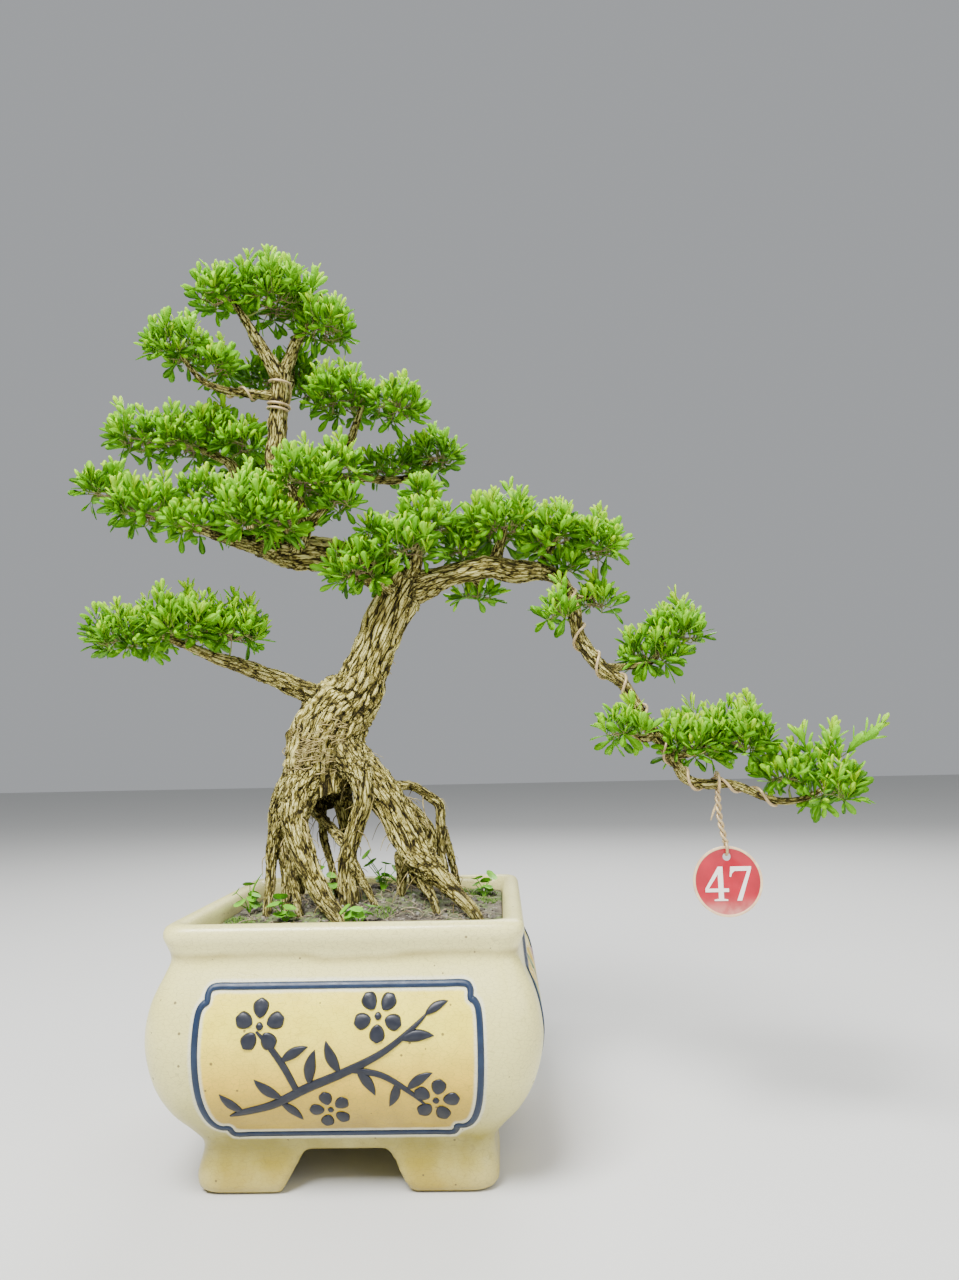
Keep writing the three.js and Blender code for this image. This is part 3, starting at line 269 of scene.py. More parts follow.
# Weeds: foot, the tips of its stems from the foot, and a grass blade on one
WEEDS = {
    "weed_left": {"foot": (-94, 2), "stems": [(-9, -6, 16), (-2, 7, 20), (6, -5, 13)],
                  "blade": (12, -6, 34)},
    "weed_front": {"foot": (-54, -48), "stems": [(-7, -6, 13), (5, -7, 11), (-5, 6, 17)]},
    "weed_centre": {"foot": (-32, -6), "stems": [(-4, -4, 26), (5, -2, 20)]},
    "weed_middle": {"foot": (4, -66), "stems": [(-10, -1, 11), (-1, -7, 12), (7, 3, 13)]},
    "weed_back": {"foot": (12, 6), "stems": [(-12, -4, 30), (2, 3, 22), (10, -2, 18), (-4, 4, 16)]},
    "weed_right": {"foot": (92, 50), "stems": [(-6, 3, 15), (6, -4, 18), (2, 8, 12)]},
}


# Working in Blender

def start_clean():
    """Object mode with nothing selected, so that an operator acts only on what comes next."""
    if bpy.context.object and bpy.context.object.mode != "OBJECT":
        bpy.ops.object.mode_set(mode="OBJECT")
    bpy.ops.object.select_all(action="DESELECT")


def make_active(piece):
    start_clean()
    piece.select_set(True)
    bpy.context.view_layer.objects.active = piece


def apply_modifier(piece, kind, **settings):
    """Adds one modifier with its settings and applies it."""
    make_active(piece)
    modifier = piece.modifiers.new(kind.lower(), kind)
    for name, value in settings.items():
        setattr(modifier, name, value)
    bpy.ops.object.modifier_apply(modifier=modifier.name)


def join_all(pieces, name):
    """Several objects joined in one, under a new name."""
    start_clean()
    for piece in pieces:
        piece.select_set(True)
    bpy.context.view_layer.objects.active = pieces[0]
    if len(pieces) > 1:
        bpy.ops.object.join()
    pieces[0].name = name
    pieces[0].data.name = name
    return pieces[0]


def subtract(piece, cutter):
    apply_modifier(piece, "BOOLEAN", operation="DIFFERENCE", object=cutter, solver="EXACT")
    bpy.data.objects.remove(cutter)


def places_of(piece):
    """A mesh's vertices as an array, in metres."""
    found = np.empty(len(piece.data.vertices) * 3)
    piece.data.vertices.foreach_get("co", found)
    return found.reshape(-1, 3)


def move_places(piece, places):
    piece.data.vertices.foreach_set("co", np.ascontiguousarray(places, float).ravel())
    piece.data.update()


def to_frame(places):
    """Millimetres from the middle of the pot's foot, as metres in the frame."""
    return np.asarray(places, float) * MM + POT_MIDDLE


def to_pot(places):
    """Metres in the frame, as millimetres from the middle of the pot's foot."""
    return (np.asarray(places, float) - POT_MIDDLE) / MM


def store(piece, name, values, kind="FLOAT"):
    """Keeps one value, or one vector, for each vertex, for the materials to read."""
    attribute = piece.data.attributes.new(name, kind, "POINT")
    field = "vector" if kind == "FLOAT_VECTOR" else "value"
    attribute.data.foreach_set(field, np.ascontiguousarray(values, np.float32).ravel())


def mesh_piece(name, places, faces):
    """An object from vertices in millimetres and its faces."""
    mesh = bpy.data.meshes.new(name)
    mesh.from_pydata(to_frame(places), [], faces)
    piece = bpy.data.objects.new(name, mesh)
    bpy.context.collection.objects.link(piece)
    return piece


def turn_outwards(piece):
    """Doubles merged, and every face turned to the outside."""
    make_active(piece)
    bpy.ops.object.mode_set(mode="EDIT")
    bpy.ops.mesh.select_all(action="SELECT")
    bpy.ops.mesh.remove_doubles(threshold=1e-6)
    bpy.ops.mesh.normals_make_consistent(inside=False)
    bpy.ops.object.mode_set(mode="OBJECT")


def hand_over(piece, slot, finish, *nodes):
    """Gives a finished piece its material and its body, and hides the model's parts that it stands for; the
    slot is not used.
    """
    piece.data.materials.clear()
    piece.data.materials.append(finish)
    piece.data.polygons.foreach_set("use_smooth", [True] * len(piece.data.polygons))
    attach(piece, "root")
    if nodes:
        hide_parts(*nodes)
    return piece


def smoothstep(low, high, value):
    share = np.clip((value - low) / (high - low), 0, 1)
    return share * share * (3 - 2 * share)


def unit(vectors):
    return vectors / np.maximum(np.linalg.norm(vectors, axis=-1, keepdims=True), 1e-9)


# Curves

def smooth_curve(points, per_span):
    """A centripetal curve through points, which may carry more columns after x, y and z."""
    table = np.asarray(points, float)
    ends = np.vstack([2 * table[0] - table[1], table, 2 * table[-1] - table[-2]])
    share = (np.arange(per_span) / per_span)[:, None]
    found = []
    for i in range(len(table) - 1):
        a, b, c, d = ends[i:i + 4]
        gaps = [max(np.linalg.norm((q - p)[:3]), 1e-6) ** 0.5 for p, q in ((a, b), (b, c), (c, d))]
        slope_b = (b - a) / gaps[0] - (c - a) / (gaps[0] + gaps[1]) + (c - b) / gaps[1]
        slope_c = (c - b) / gaps[1] - (d - b) / (gaps[1] + gaps[2]) + (d - c) / gaps[2]
        slope_b, slope_c = slope_b * gaps[1], slope_c * gaps[1]
        cubic = 2 * b - 2 * c + slope_b + slope_c
        square = -3 * b + 3 * c - 2 * slope_b - slope_c
        found.append(b + slope_b * share + square * share ** 2 + cubic * share ** 3)
    return np.vstack([*found, table[-1:]])


class Route:
    """A limb's centre line in even steps: places, directions, two cross directions, radii."""

    def __init__(self, points, step):
        fine = smooth_curve(points, 24)
        lengths = np.r_[0, np.cumsum(np.linalg.norm(np.diff(fine[:, :3], axis=0), axis=1))]
        count = max(4, round(lengths[-1] / step))
        self.lengths = np.linspace(0, lengths[-1], count + 1)
        even = np.column_stack([np.interp(self.lengths, lengths, column) for column in fine.T])
        self.places, self.radii = even[:, :3], even[:, 3]
        self.directions = unit(np.gradient(self.places, axis=0))
        steep = abs(self.directions[0, 2]) > 0.9
        normal = np.array((0.0, -1.0, 0.0) if steep else (0.0, 0.0, 1.0))
        normals = []
        for direction in self.directions:
            normal = unit(normal - direction * (normal @ direction))
            normals.append(normal)
        self.normals = np.array(normals)
        self.sides = np.cross(self.directions, self.normals)

    def at(self, share):
        """Place, two cross directions and radius at shares of the length."""
        where = np.asarray(share, float) * self.lengths[-1]
        radii = np.interp(where, self.lengths, self.radii)

        def pick(table):
            return np.column_stack([np.interp(where, self.lengths, column) for column in table.T])

        return pick(self.places), unit(pick(self.normals)), unit(pick(self.sides)), radii


def tubes(name, routes, sides=8):
    """Round tubes along routes, in one mesh; a route is places with the radius at each."""
    data = bpy.data.curves.new(name, "CURVE")
    data.dimensions = "3D"
    data.bevel_depth = MM
    data.bevel_resolution = max(0, (sides - 4) // 2)
    data.use_fill_caps = True
    for route in routes:
        route = np.asarray(route, float)
        spline = data.splines.new("POLY")
        spline.points.add(len(route) - 1)
        places = np.column_stack([to_frame(route[:, :3]), np.ones(len(route))])
        spline.points.foreach_set("co", places.ravel())
        spline.points.foreach_set("radius", route[:, 3])
    piece = bpy.data.objects.new(name, data)
    bpy.context.collection.objects.link(piece)
    make_active(piece)
    bpy.ops.object.convert(target="MESH")
    return bpy.context.object


def round_ended(places, radii):
    """A route whose radius closes up at both ends, so that its tube ends round."""
    radii = np.array(radii, float)
    radii[[0, -1]] *= 0.35
    return np.column_stack([places, radii])


LIMB_ROUTES = {name: Route(points, 2.5) for name, points in LIMBS.items()}


def of_all_limbs(what):
    """One array for all limbs: their places, radii, lengths, directions, normals or sides."""
    return np.concatenate([getattr(route, what) for route in LIMB_ROUTES.values()])


WOOD_CENTRES = of_all_limbs("places")


class NearestLimb:
    """For places in millimetres, the limb whose bark is nearest and where they lie on it."""

    def __init__(self, places):
        radii = of_all_limbs("radii")
        owners = np.concatenate([[i] * len(route.places) for i, route in enumerate(LIMB_ROUTES.values())])
        nearest = np.empty(len(places), int)
        chunk = 4000
        for start in range(0, len(places), chunk):
            part = places[start:start + chunk]
            square = (part ** 2).sum(1)[:, None] + (WOOD_CENTRES ** 2).sum(1) - 2 * part @ WOOD_CENTRES.T
            nearest[start:start + chunk] = (np.sqrt(np.maximum(square, 0)) - radii).argmin(1)
        offset = places - WOOD_CENTRES[nearest]
        directions = of_all_limbs("directions")[nearest]
        ahead = (offset * directions).sum(1)
        self.outward = offset - directions * ahead[:, None]
        self.distance = np.linalg.norm(self.outward, axis=1)
        self.radius = radii[nearest]
        self.along = of_all_limbs("lengths")[nearest] + ahead
        self.limb = owners[nearest]
        self.across = np.column_stack([(self.outward * of_all_limbs(what)[nearest]).sum(1)
                                       for what in ("normals", "sides")])
        self.gap = self.distance - self.radius


# Shader building

def add_node(tree, kind, inputs=None, **settings):
    """A shader node: settings are its options, inputs its values or the sockets that feed it."""
    made = tree.nodes.new(kind)
    for name, value in settings.items():
        setattr(made, name, value)
    for name, value in (inputs or {}).items():
        if isinstance(value, bpy.types.NodeSocket):
            tree.links.new(value, made.inputs[name])
        elif isinstance(value, (tuple, list)) and len(value) == 3 and made.inputs[name].type == "RGBA":
            made.inputs[name].default_value = (*value, 1)
        else:
            made.inputs[name].default_value = value
    return made


def mixed(tree, factor, a, b, blend="MIX"):
    """A colour between two colours."""
    made = tree.nodes.new("ShaderNodeMix")
    made.data_type = "RGBA"
    made.blend_type = blend
    for index, value in ((0, factor), (6, a), (7, b)):
        if isinstance(value, bpy.types.NodeSocket):
            tree.links.new(value, made.inputs[index])
        elif index:
            made.inputs[index].default_value = (*value[:3], 1)
        else:
            made.inputs[index].default_value = value
    return made.outputs[2]


def maths(tree, operation, a, b=0.0, c=0.0, clamp=False):
    made = add_node(tree, "ShaderNodeMath", operation=operation, use_clamp=clamp)
    for index, value in enumerate((a, b, c)):
        if isinstance(value, bpy.types.NodeSocket):
            tree.links.new(value, made.inputs[index])
        else:
            made.inputs[index].default_value = value
    return made.outputs[0]


def ramp(tree, factor, stops):
    """A colour read from stops of place and colour."""
    made = add_node(tree, "ShaderNodeValToRGB", {"Fac": factor})
    elements = made.color_ramp.elements
    while len(elements) < len(stops):
        elements.new(0.5)
    for element, (place, colour) in zip(elements, stops):
        element.position = place
        element.color = (*colour[:3], 1)
    return made.outputs["Color"]


def between(tree, value, low, high):
    """0 below low and 1 above high, smooth between them."""
    return add_node(tree, "ShaderNodeMapRange", {"Value": value, "From Min": low, "From Max": high},
                    interpolation_type="SMOOTHSTEP").outputs["Result"]


def new_group(name, inputs, outputs):
    """A node group with named number and vector inputs and number outputs."""
    tree = bpy.data.node_groups.new(name, "ShaderNodeTree")
    for label, default in inputs:
        kind = "NodeSocketVector" if default is None else "NodeSocketFloat"
        socket = tree.interface.new_socket(label, in_out="INPUT", socket_type=kind)
        if default is not None:
            socket.default_value = default
    for label in outputs:
        tree.interface.new_socket(label, in_out="OUTPUT", socket_type="NodeSocketFloat")
    return tree, tree.nodes.new("NodeGroupInput"), tree.nodes.new("NodeGroupOutput")


def mottle_group():
    """Soft cloudy variation from 0 to 1, in two sizes at once."""
    if "Mottle" in bpy.data.node_groups:
        return bpy.data.node_groups["Mottle"]
    tree, start, end = new_group("Mottle", [("Vector", None), ("Scale", 100.0), ("Contrast", 0.25)],
                                 ["Value"])
    noise_node = add_node(tree, "ShaderNodeTexNoise", {
        "Vector": start.outputs["Vector"], "Scale": start.outputs["Scale"], "Detail": 5.0})
    low = maths(tree, "SUBTRACT", 0.5, start.outputs["Contrast"])
    high = maths(tree, "ADD", 0.5, start.outputs["Contrast"])
    tree.links.new(between(tree, noise_node.outputs["Fac"], low, high), end.inputs["Value"])
    return tree


def speckle_group():
    """Small separate dots: 1 in a dot and 0 between, with only a share of the cells filled."""
    if "Speckle" in bpy.data.node_groups:
        return bpy.data.node_groups["Speckle"]
    tree, start, end = new_group("Speckle", [("Vector", None), ("Scale", 200.0), ("Share", 0.2),
                                             ("Size", 0.25)], ["Mask"])
    cells = add_node(tree, "ShaderNodeTexVoronoi", {
        "Vector": start.outputs["Vector"], "Scale": start.outputs["Scale"]})
    chance = add_node(tree, "ShaderNodeSeparateColor", {"Color": cells.outputs["Color"]})
    filled = maths(tree, "LESS_THAN", chance.outputs["Red"], start.outputs["Share"])
    size = maths(tree, "MULTIPLY", start.outputs["Size"], chance.outputs["Green"])
    inside = maths(tree, "LESS_THAN", cells.outputs["Distance"], size)
    tree.links.new(maths(tree, "MULTIPLY", filled, inside), end.inputs["Mask"])
    return tree


def use_group(tree, group, inputs):
    return add_node(tree, "ShaderNodeGroup", inputs, node_tree=group).outputs[0]


class Finish:
    """A material in the making: its nodes, the surface's own coordinates and its shader."""

    def __init__(self, name, **constants):
        self.material = bpy.data.materials.new(name)
        self.material.use_nodes = True
        self.tree = self.material.node_tree
        self.tree.nodes.clear()
        self.shader = add_node(self.tree, "ShaderNodeBsdfPrincipled", constants)
        output = add_node(self.tree, "ShaderNodeOutputMaterial")
        self.tree.links.new(self.shader.outputs[0], output.inputs["Surface"])
        self.object = add_node(self.tree, "ShaderNodeTexCoord").outputs["Object"]

    def attribute(self, name, output="Fac"):
        return add_node(self.tree, "ShaderNodeAttribute", attribute_name=name).outputs[output]

    def split(self, vector):
        return add_node(self.tree, "ShaderNodeSeparateXYZ", {"Vector": vector}).outputs

    def mottle(self, scale, contrast=0.25, vector=None):
        return use_group(self.tree, mottle_group(), {
            "Vector": vector or self.object, "Scale": scale, "Contrast": contrast})

    def varied(self, scale, contrast, reach, base=0.0):
        """A number that drifts from base to base + reach over the surface."""
        return maths(self.tree, "MULTIPLY_ADD", self.mottle(scale, contrast), reach, base)

    def speckle(self, scale, share, size=0.35, vector=None):
        return use_group(self.tree, speckle_group(), {
            "Vector": vector or self.object, "Scale": scale, "Share": share, "Size": size})

    def scaled(self, vector, scale):
        return add_node(self.tree, "ShaderNodeMapping", {"Vector": vector, "Scale": scale}
                        ).outputs["Vector"]

    def feed(self, name, socket):
        self.tree.links.new(socket, self.shader.inputs[name])

    def bump(self, height, distance, strength=1.0):
        made = add_node(self.tree, "ShaderNodeBump", {
            "Height": height, "Distance": distance, "Strength": strength})
        self.feed("Normal", made.outputs["Normal"])


# Pot

def pot_corner(height):
    """Corner radius of the pot's plan: the belly is rounder than the foot and the rim."""
    return 14 + 16 * math.exp(-(((height - 95) / 38) ** 2))


def square_ring(half, height, corner, count=96):
    """One level of the pot: a square with round corners."""
    flat = half - min(corner, half)
    reach = min(corner, half)
    places = []
    for k in range(count):
        side, share = divmod(k / (count / 4) + 0.5, 1)
        along = share * 2 - 1
        turn = max(0.0, (abs(along) - 1 / 3) / (2 / 3)) * math.pi / 4
        x = flat + reach * math.cos(turn)
        y = flat * max(-1, min(1, along * 3)) + math.copysign(reach * math.sin(turn), along)
        angle = (side % 4) * math.pi / 2
        places.append((x * math.cos(angle) - y * math.sin(angle),
                       x * math.sin(angle) + y * math.cos(angle), height))
    return np.array(places)


def lofted(name, rings):
    """A closed solid through rings of places: a filled circle, extruded from ring to ring."""
    start_clean()
    bpy.ops.mesh.primitive_circle_add(vertices=len(rings[0]), fill_type="NGON")
    piece = bpy.context.object
    piece.name = name
    seats = piece.data.attributes.new("seat", "INT", "POINT")
    seats.data.foreach_set("value", range(len(rings[0])))
    bpy.ops.object.mode_set(mode="EDIT")
    for index, ring in enumerate(rings):
        if index:
            bpy.ops.mesh.extrude_region_move()
        mesh = bmesh.from_edit_mesh(piece.data)
        seat = mesh.verts.layers.int["seat"]
        ring = to_frame(ring)
        for vertex in mesh.verts:
            if vertex.select:
                vertex.co = ring[vertex[seat]]
        bmesh.update_edit_mesh(piece.data)
    bpy.ops.object.mode_set(mode="OBJECT")
    turn_outwards(piece)
    piece.data.attributes.remove(piece.data.attributes["seat"])
    return piece


def outer_half(height):
    """The visible pot's half width at a height: pulled in at the belly, under its raised ornament."""
    room = smoothstep(36, 58, height) * (1 - smoothstep(143, 156, height))
    return np.interp(height, POT_CURVE[:, 2], POT_CURVE[:, 0]) - RELIEF_ROOM * room


POT_CURVE = smooth_curve([(half, 0, height) for half, height in POT_OUTSIDE], 6)


def arch_block(turned):
    """The passage between the feet, as a block to cut away."""
    slope = (ARCH_HALF_BOTTOM - ARCH_HALF_TOP) / ARCH_TOP
    low = ARCH_HALF_BOTTOM + 6 * slope
    ends = [(-low, -6), (low, -6), (ARCH_HALF_TOP, ARCH_TOP), (-ARCH_HALF_TOP, ARCH_TOP)]
    rings = [np.array([(x, y, z) for x, z in ends]) for y in (-150, 150)]
    if turned:
        rings = [ring[:, [1, 0, 2]] for ring in rings]
    return lofted("arch", rings)


def panel_outline():
    """The panel's outline with its notched corners, in the face's own width and height."""
    side = [(half, height) for half, height in PANEL_EDGE]
    top, bottom = side[-1], side[0]
    across = np.linspace(1, -1, 14)[1:-1]
    lid = [(top[0] * share, top[1]) for share in across]
    sill = [(-bottom[0] * share, bottom[1]) for share in across]
    return np.array(side + lid + [(-half, height) for half, height in reversed(side)] + sill)


def outline_distance(across, height, outline):
    """How far a place on a face lies from the panel's outline: negative inside it."""
    place = np.column_stack([across, height])
    nearest = np.full(len(place), 1e9)
    inside = np.zeros(len(place), bool)
    for a, b in zip(outline, np.roll(outline, -1, axis=0)):
        edge = b - a
        share = np.clip(((place - a) @ edge) / (edge @ edge), 0, 1)
        nearest = np.minimum(nearest, np.linalg.norm(place - a - share[:, None] * edge, axis=1))
        spans = (a[1] > place[:, 1]) != (b[1] > place[:, 1])
        if a[1] != b[1]:
            crossing = a[0] + (place[:, 1] - a[1]) / (b[1] - a[1]) * edge[0]
            inside ^= spans & (place[:, 0] < crossing)
    return np.where(inside, -nearest, nearest)


def glaze_finish(settings):
    """Cream crackle glaze with a yellow panel and the pale halo of its line, darker towards the bottom and
    in the neck: partly the glaze's own colour, partly painted shade.
    """
    finish = Finish("cream_glaze", **{"Coat Weight": 0.3, "Coat Roughness": 0.1, "IOR": 1.45})
    tree = finish.tree
    height = maths(tree, "DIVIDE", finish.split(finish.object)["Z"], MM)
    drift = finish.varied(16, 0.35, 0.03, -0.015)
    level = maths(tree, "ADD", maths(tree, "DIVIDE", height, RIM_TOP), drift)
    # Colour by height: the greener glaze below the belly is darkened with painted shade where the belly
    # turns under, and the pooled glaze in the neck with painted shade under the rim's lip
    body = ramp(tree, level, [
        (0.0, settings.foot_colour), (0.20, settings.low_glaze_and_shade_colour), (0.42, settings.glaze_colour),
        (0.85, settings.glaze_colour), (0.878, settings.neck_pool_and_shade_colour), (0.90, settings.rim_colour),
        (0.955, settings.rim_colour), (1.0, settings.glaze_colour)])
    body = mixed(tree, finish.varied(34, 0.3, 0.14), body,
                 settings.low_glaze_and_shade_colour)
    pale = finish.varied(21, 0.18, 0.35)
    body = mixed(tree, pale, body, settings.rim_colour)
    cloth = finish.mottle(1.0, 0.3, finish.scaled(finish.object, (190, 190, 1300)))
    body = mixed(tree, maths(tree, "MULTIPLY", cloth, 0.16), body, settings.neck_pool_and_shade_colour)
    edge = finish.attribute("panel_edge")
    wobble = finish.varied(90, 0.4, 0.8, -0.4)
    drawn = maths(tree, "ADD", edge, wobble)
    # The panel darkens from its top to its foot: partly its ochre glaze, partly painted shade where the
    # belly turns under
    inner = ramp(tree, between(tree, height, PANEL_EDGE[0][1], PANEL_EDGE[-1][1]), [
        (0.0, settings.panel_low_and_shade), (0.35, settings.panel_middle), (0.85, settings.panel_high)])
    inner = mixed(tree, finish.varied(40, 0.3, 0.35), inner,
                  settings.panel_middle)
    inner = mixed(tree, finish.varied(110, 0.25, 0.18), inner,
                  settings.panel_low_and_shade)
    inside = maths(tree, "SUBTRACT", 1.0, between(tree, drawn, -0.6, 0.6))
    colour = mixed(tree, inside, body, inner)
    halo = maths(tree, "SUBTRACT", 1.0, between(tree, maths(tree, "ABSOLUTE", drawn), 2.6, 5.2))
    colour = mixed(tree, maths(tree, "MULTIPLY", halo, 0.8), colour, settings.halo_colour)
    cracks = add_node(tree, "ShaderNodeTexVoronoi", {
        "Vector": finish.scaled(finish.object, (1, 1, 1.8)), "Scale": 240.0},
        feature="DISTANCE_TO_EDGE").outputs["Distance"]
    crack = maths(tree, "SUBTRACT", 1.0, between(tree, cracks, 0.0, 0.06))
    colour = mixed(tree, maths(tree, "MULTIPLY", crack, 0.24), colour, settings.speckle_colour)
    specks = maths(tree, "MULTIPLY", finish.speckle(190, 0.16, 0.2), 0.8)
    colour = mixed(tree, specks, colour, settings.speckle_colour)
    finish.feed("Base Color", colour)
    gloss = finish.varied(60, 0.35, 0.14, 0.30)
    finish.feed("Roughness", maths(tree, "MULTIPLY_ADD", specks, 0.3, gloss))
    waves = maths(tree, "MULTIPLY_ADD", finish.mottle(55, 0.4), 0.8, maths(tree, "MULTIPLY", crack, -0.15))
    finish.bump(maths(tree, "MULTIPLY_ADD", cloth, 0.12, waves), 0.4 * MM, 0.6)
    return finish.material


def make_pot(settings):
    """The pot: a lofted body, hollowed, with its feet cut free and every edge rounded over."""
    heights = POT_CURVE[:, 2]
    pot = lofted("pot_glazed", [square_ring(half, height, pot_corner(height))
                                for half, height in zip(outer_half(heights), heights)])
    hollow = smooth_curve([(half, 0, height) for half, height in POT_INSIDE], 3)
    subtract(pot, lofted("hollow", [square_ring(half, height, pot_corner(height) - 3)
                                    for half, _, height in hollow]))
    levels = [(FOOT_RECESS_HALF + 1, -5), (FOOT_RECESS_HALF, FOOT_RECESS_TOP - 3),
              (FOOT_RECESS_HALF - 3, FOOT_RECESS_TOP)]
    subtract(pot, lofted("recess", [square_ring(half, height, 10) for half, height in levels]))
    for turned in (False, True):
        subtract(pot, arch_block(turned))
    make_active(pot)
    bpy.ops.object.duplicate()
    sharp = bpy.context.object
    apply_modifier(pot, "REMESH", mode="VOXEL", voxel_size=settings.fineness)
    apply_modifier(pot, "SMOOTH", factor=0.5, iterations=8)
    apply_modifier(pot, "SHRINKWRAP", target=sharp, wrap_method="NEAREST_SURFACEPOINT")
    apply_modifier(pot, "SMOOTH", factor=0.5, iterations=3)
    bpy.data.objects.remove(sharp)
    places = to_pot(places_of(pot))
    places[:, 2] = np.clip(places[:, 2], 0, RIM_TOP)
    move_places(pot, to_frame(places))
    on_front = np.abs(places[:, 1]) > np.abs(places[:, 0])
    across = np.where(on_front, places[:, 0], places[:, 1])
    outer = np.maximum(np.abs(places[:, 0]), np.abs(places[:, 1]))
    edge = outline_distance(across, places[:, 2], panel_outline())
    edge[outer < outer_half(places[:, 2]) - WALL_DEPTH] = 50
    store(pot, "panel_edge", edge)
    hand_over(pot, "glaze", glaze_finish(settings), "pot")


def strokes_on_face(name, strokes, turns, per_span=5):
    """Raised brush strokes on a face of the pot; a stroke is width, height and radius along it."""
    routes = []
    for stroke in strokes:
        route = smooth_curve([(x, z, 0, radius) for x, z, radius in stroke], per_span)
        route[:, 3] = np.maximum(route[:, 3], 0.05)
        routes.append(np.column_stack([route[:, 0], route[:, 2], route[:, 1], route[:, 3]]))
    piece = tubes(name, routes, sides=8)
    places = to_pot(places_of(piece))
    depth = RELIEF_RISE * np.tanh(places[:, 1] * 1.1 / RELIEF_RISE)
    places[:, 1] = depth - outer_half(places[:, 2])
    spin = Matrix.Rotation(turns * math.pi / 2, 3, "Z")
    move_places(piece, to_frame(places @ np.array(spin).T))
    return piece


def blossom(x, z, size, turn=0.0, petals=5):
    """The strokes of a flower seen from the front: plump petals round a small heart."""
    strokes = []
    for k in range(petals):
        angle = turn + 2 * math.pi * k / petals
        reach = [(0.32, 0.05), (0.42, 0.2), (0.68, 0.33), (0.92, 0.28), (1.06, 0.04)]
        strokes.append([(x + math.cos(angle) * r * size, z + math.sin(angle) * r * size, w * size)
                        for r, w in reach])
    strokes.append([(x - 0.16 * size, z, 0.02 * size), (x - 0.08 * size, z, 0.14 * size),
                    (x + 0.08 * size, z, 0.14 * size), (x + 0.16 * size, z, 0.02 * size)])
    return strokes


def leaf_stroke(x, z, length, angle, width=0.17):
    """One leaf as a single stroke: thin at its foot, full in its middle, pointed at its tip."""
    bend = [(0, 0.02, 0), (0.2, width * 0.7, 0.04), (0.5, width, 0.06), (0.8, width * 0.6, 0.04),
            (1, 0.01, 0)]
    cos, sin = math.cos(angle), math.sin(angle)
    return [(x + (s * cos - b * sin) * length, z + (s * sin + b * cos) * length, w * length)
            for s, w, b in bend]


def front_sprig():
    """A flowering branch across the panel, in slate strokes."""
    strokes = [[(-72, 56, 0.6), (-66, 58, 2.2), (-44, 64, 3.0), (-20, 76, 3.2), (4, 86, 2.9),
                (30, 99, 2.2), (52, 116, 1.4), (58, 122, 0.5)],
               [(-26, 73, 2.2), (-34, 90, 2.4), (-44, 104, 1.9), (-52, 112, 0.8)],
               [(8, 88, 2.2), (28, 84, 2.2), (46, 72, 1.7), (56, 62, 0.7)]]
    strokes += blossom(-50, 115, 15.5, 0.3) + blossom(26, 120, 15, 0.9) + blossom(62, 66, 14.5, 0.1)
    strokes += blossom(-6, 60, 13, 0.6)
    for x, z, length, turn in [(-62, 59, 20, 2.4), (-38, 66, 19, -0.8), (-36, 69, 22, 2.5),
                               (-36, 93, 20, 0.5), (-18, 78, 23, 1.4), (2, 86, 22, 2.0),
                               (12, 88, 21, -1.0), (38, 80, 19, -1.9), (40, 106, 22, 0.1),
                               (56, 120, 17, 0.5), (44, 74, 20, 0.6)]:
        strokes.append(leaf_stroke(x, z, length, turn))
    return strokes


def paint_finish(name, colour, edge_colour, roughness=0.3):
    """Thick brushed-on enamel, thinner and paler where it ends."""
    finish = Finish(name, **{"Specular IOR Level": 0.35})
    tree = finish.tree
    shade = mixed(tree, finish.varied(130, 0.3, 0.35), colour, edge_colour)
    specks = finish.speckle(420, 0.12, 0.3)
    finish.feed("Base Color", mixed(tree, maths(tree, "MULTIPLY", specks, 0.3), shade, edge_colour))
    finish.feed("Roughness", finish.varied(200, 0.3, 0.15, roughness))
    finish.bump(finish.mottle(240, 0.4), 0.15 * MM, 0.5)
    return finish.material


def make_relief(settings):
    """The raised panel line and sprigs in slate, and the painted flowers on the two sides."""
    outline = panel_outline()
    closed = np.vstack([outline, outline[:2]])
    line = [(x, z, PANEL_LINE) for x, z in closed]
    slate = paint_finish("slate_enamel", settings.line_colour, settings.line_worn)
    pieces = [strokes_on_face("panel_line", [line], turn, 3) for turn in range(4)]
    hand_over(join_all(pieces, "panel_lines"), "glaze", slate)
    ink = paint_finish("ink_enamel", settings.ink_colour, settings.slate_worn)
    pieces = [strokes_on_face("sprig", front_sprig(), turn) for turn in (0, 2)]
    hand_over(join_all(pieces, "panel_sprigs"), "glaze", ink)
    flowers = {
        "red_flowers": (settings.red_colour, blossom(-34, 74, 22, 0.2, 7) + blossom(42, 66, 17, 0.5)),
        "yellow_flowers": (settings.yellow_colour, blossom(-50, 118, 16, 0.4, 6)
                           + blossom(16, 112, 20, 0.1, 7)),
        "mauve_flowers": (settings.mauve_colour, blossom(-74, 88, 13, 0.8) + blossom(62, 106, 15, 0.2)),
        "green_leaves": (settings.leaf_paint, [leaf_stroke(x, z, 26, turn, 0.2) for x, z, turn in (
            (-8, 84, 0.6), (-4, 90, 2.1), (2, 70, -0.5), (10, 84, -0.2), (-8, 62, -0.9),
            (34, 90, 0.9), (66, 86, -1.2), (-60, 62, 2.9), (-16, 112, 1.9), (-70, 108, 2.0))]),
    }
    for name, (colour, strokes) in flowers.items():
        pieces = [strokes_on_face(name, strokes, turn) for turn in (1, 3)]
        finish = paint_finish(name, colour, settings.halo_colour)
        hand_over(join_all(pieces, name), "glaze", finish)


# Soil

def mound_height(x, y):
    """Height of the soil without its lumps: its edge and the mound at the roots."""
    return SOIL_EDGE + SOIL_MOUND * math.exp(-(((x - 5) / 72) ** 2) - ((y - 22) / 62) ** 2)


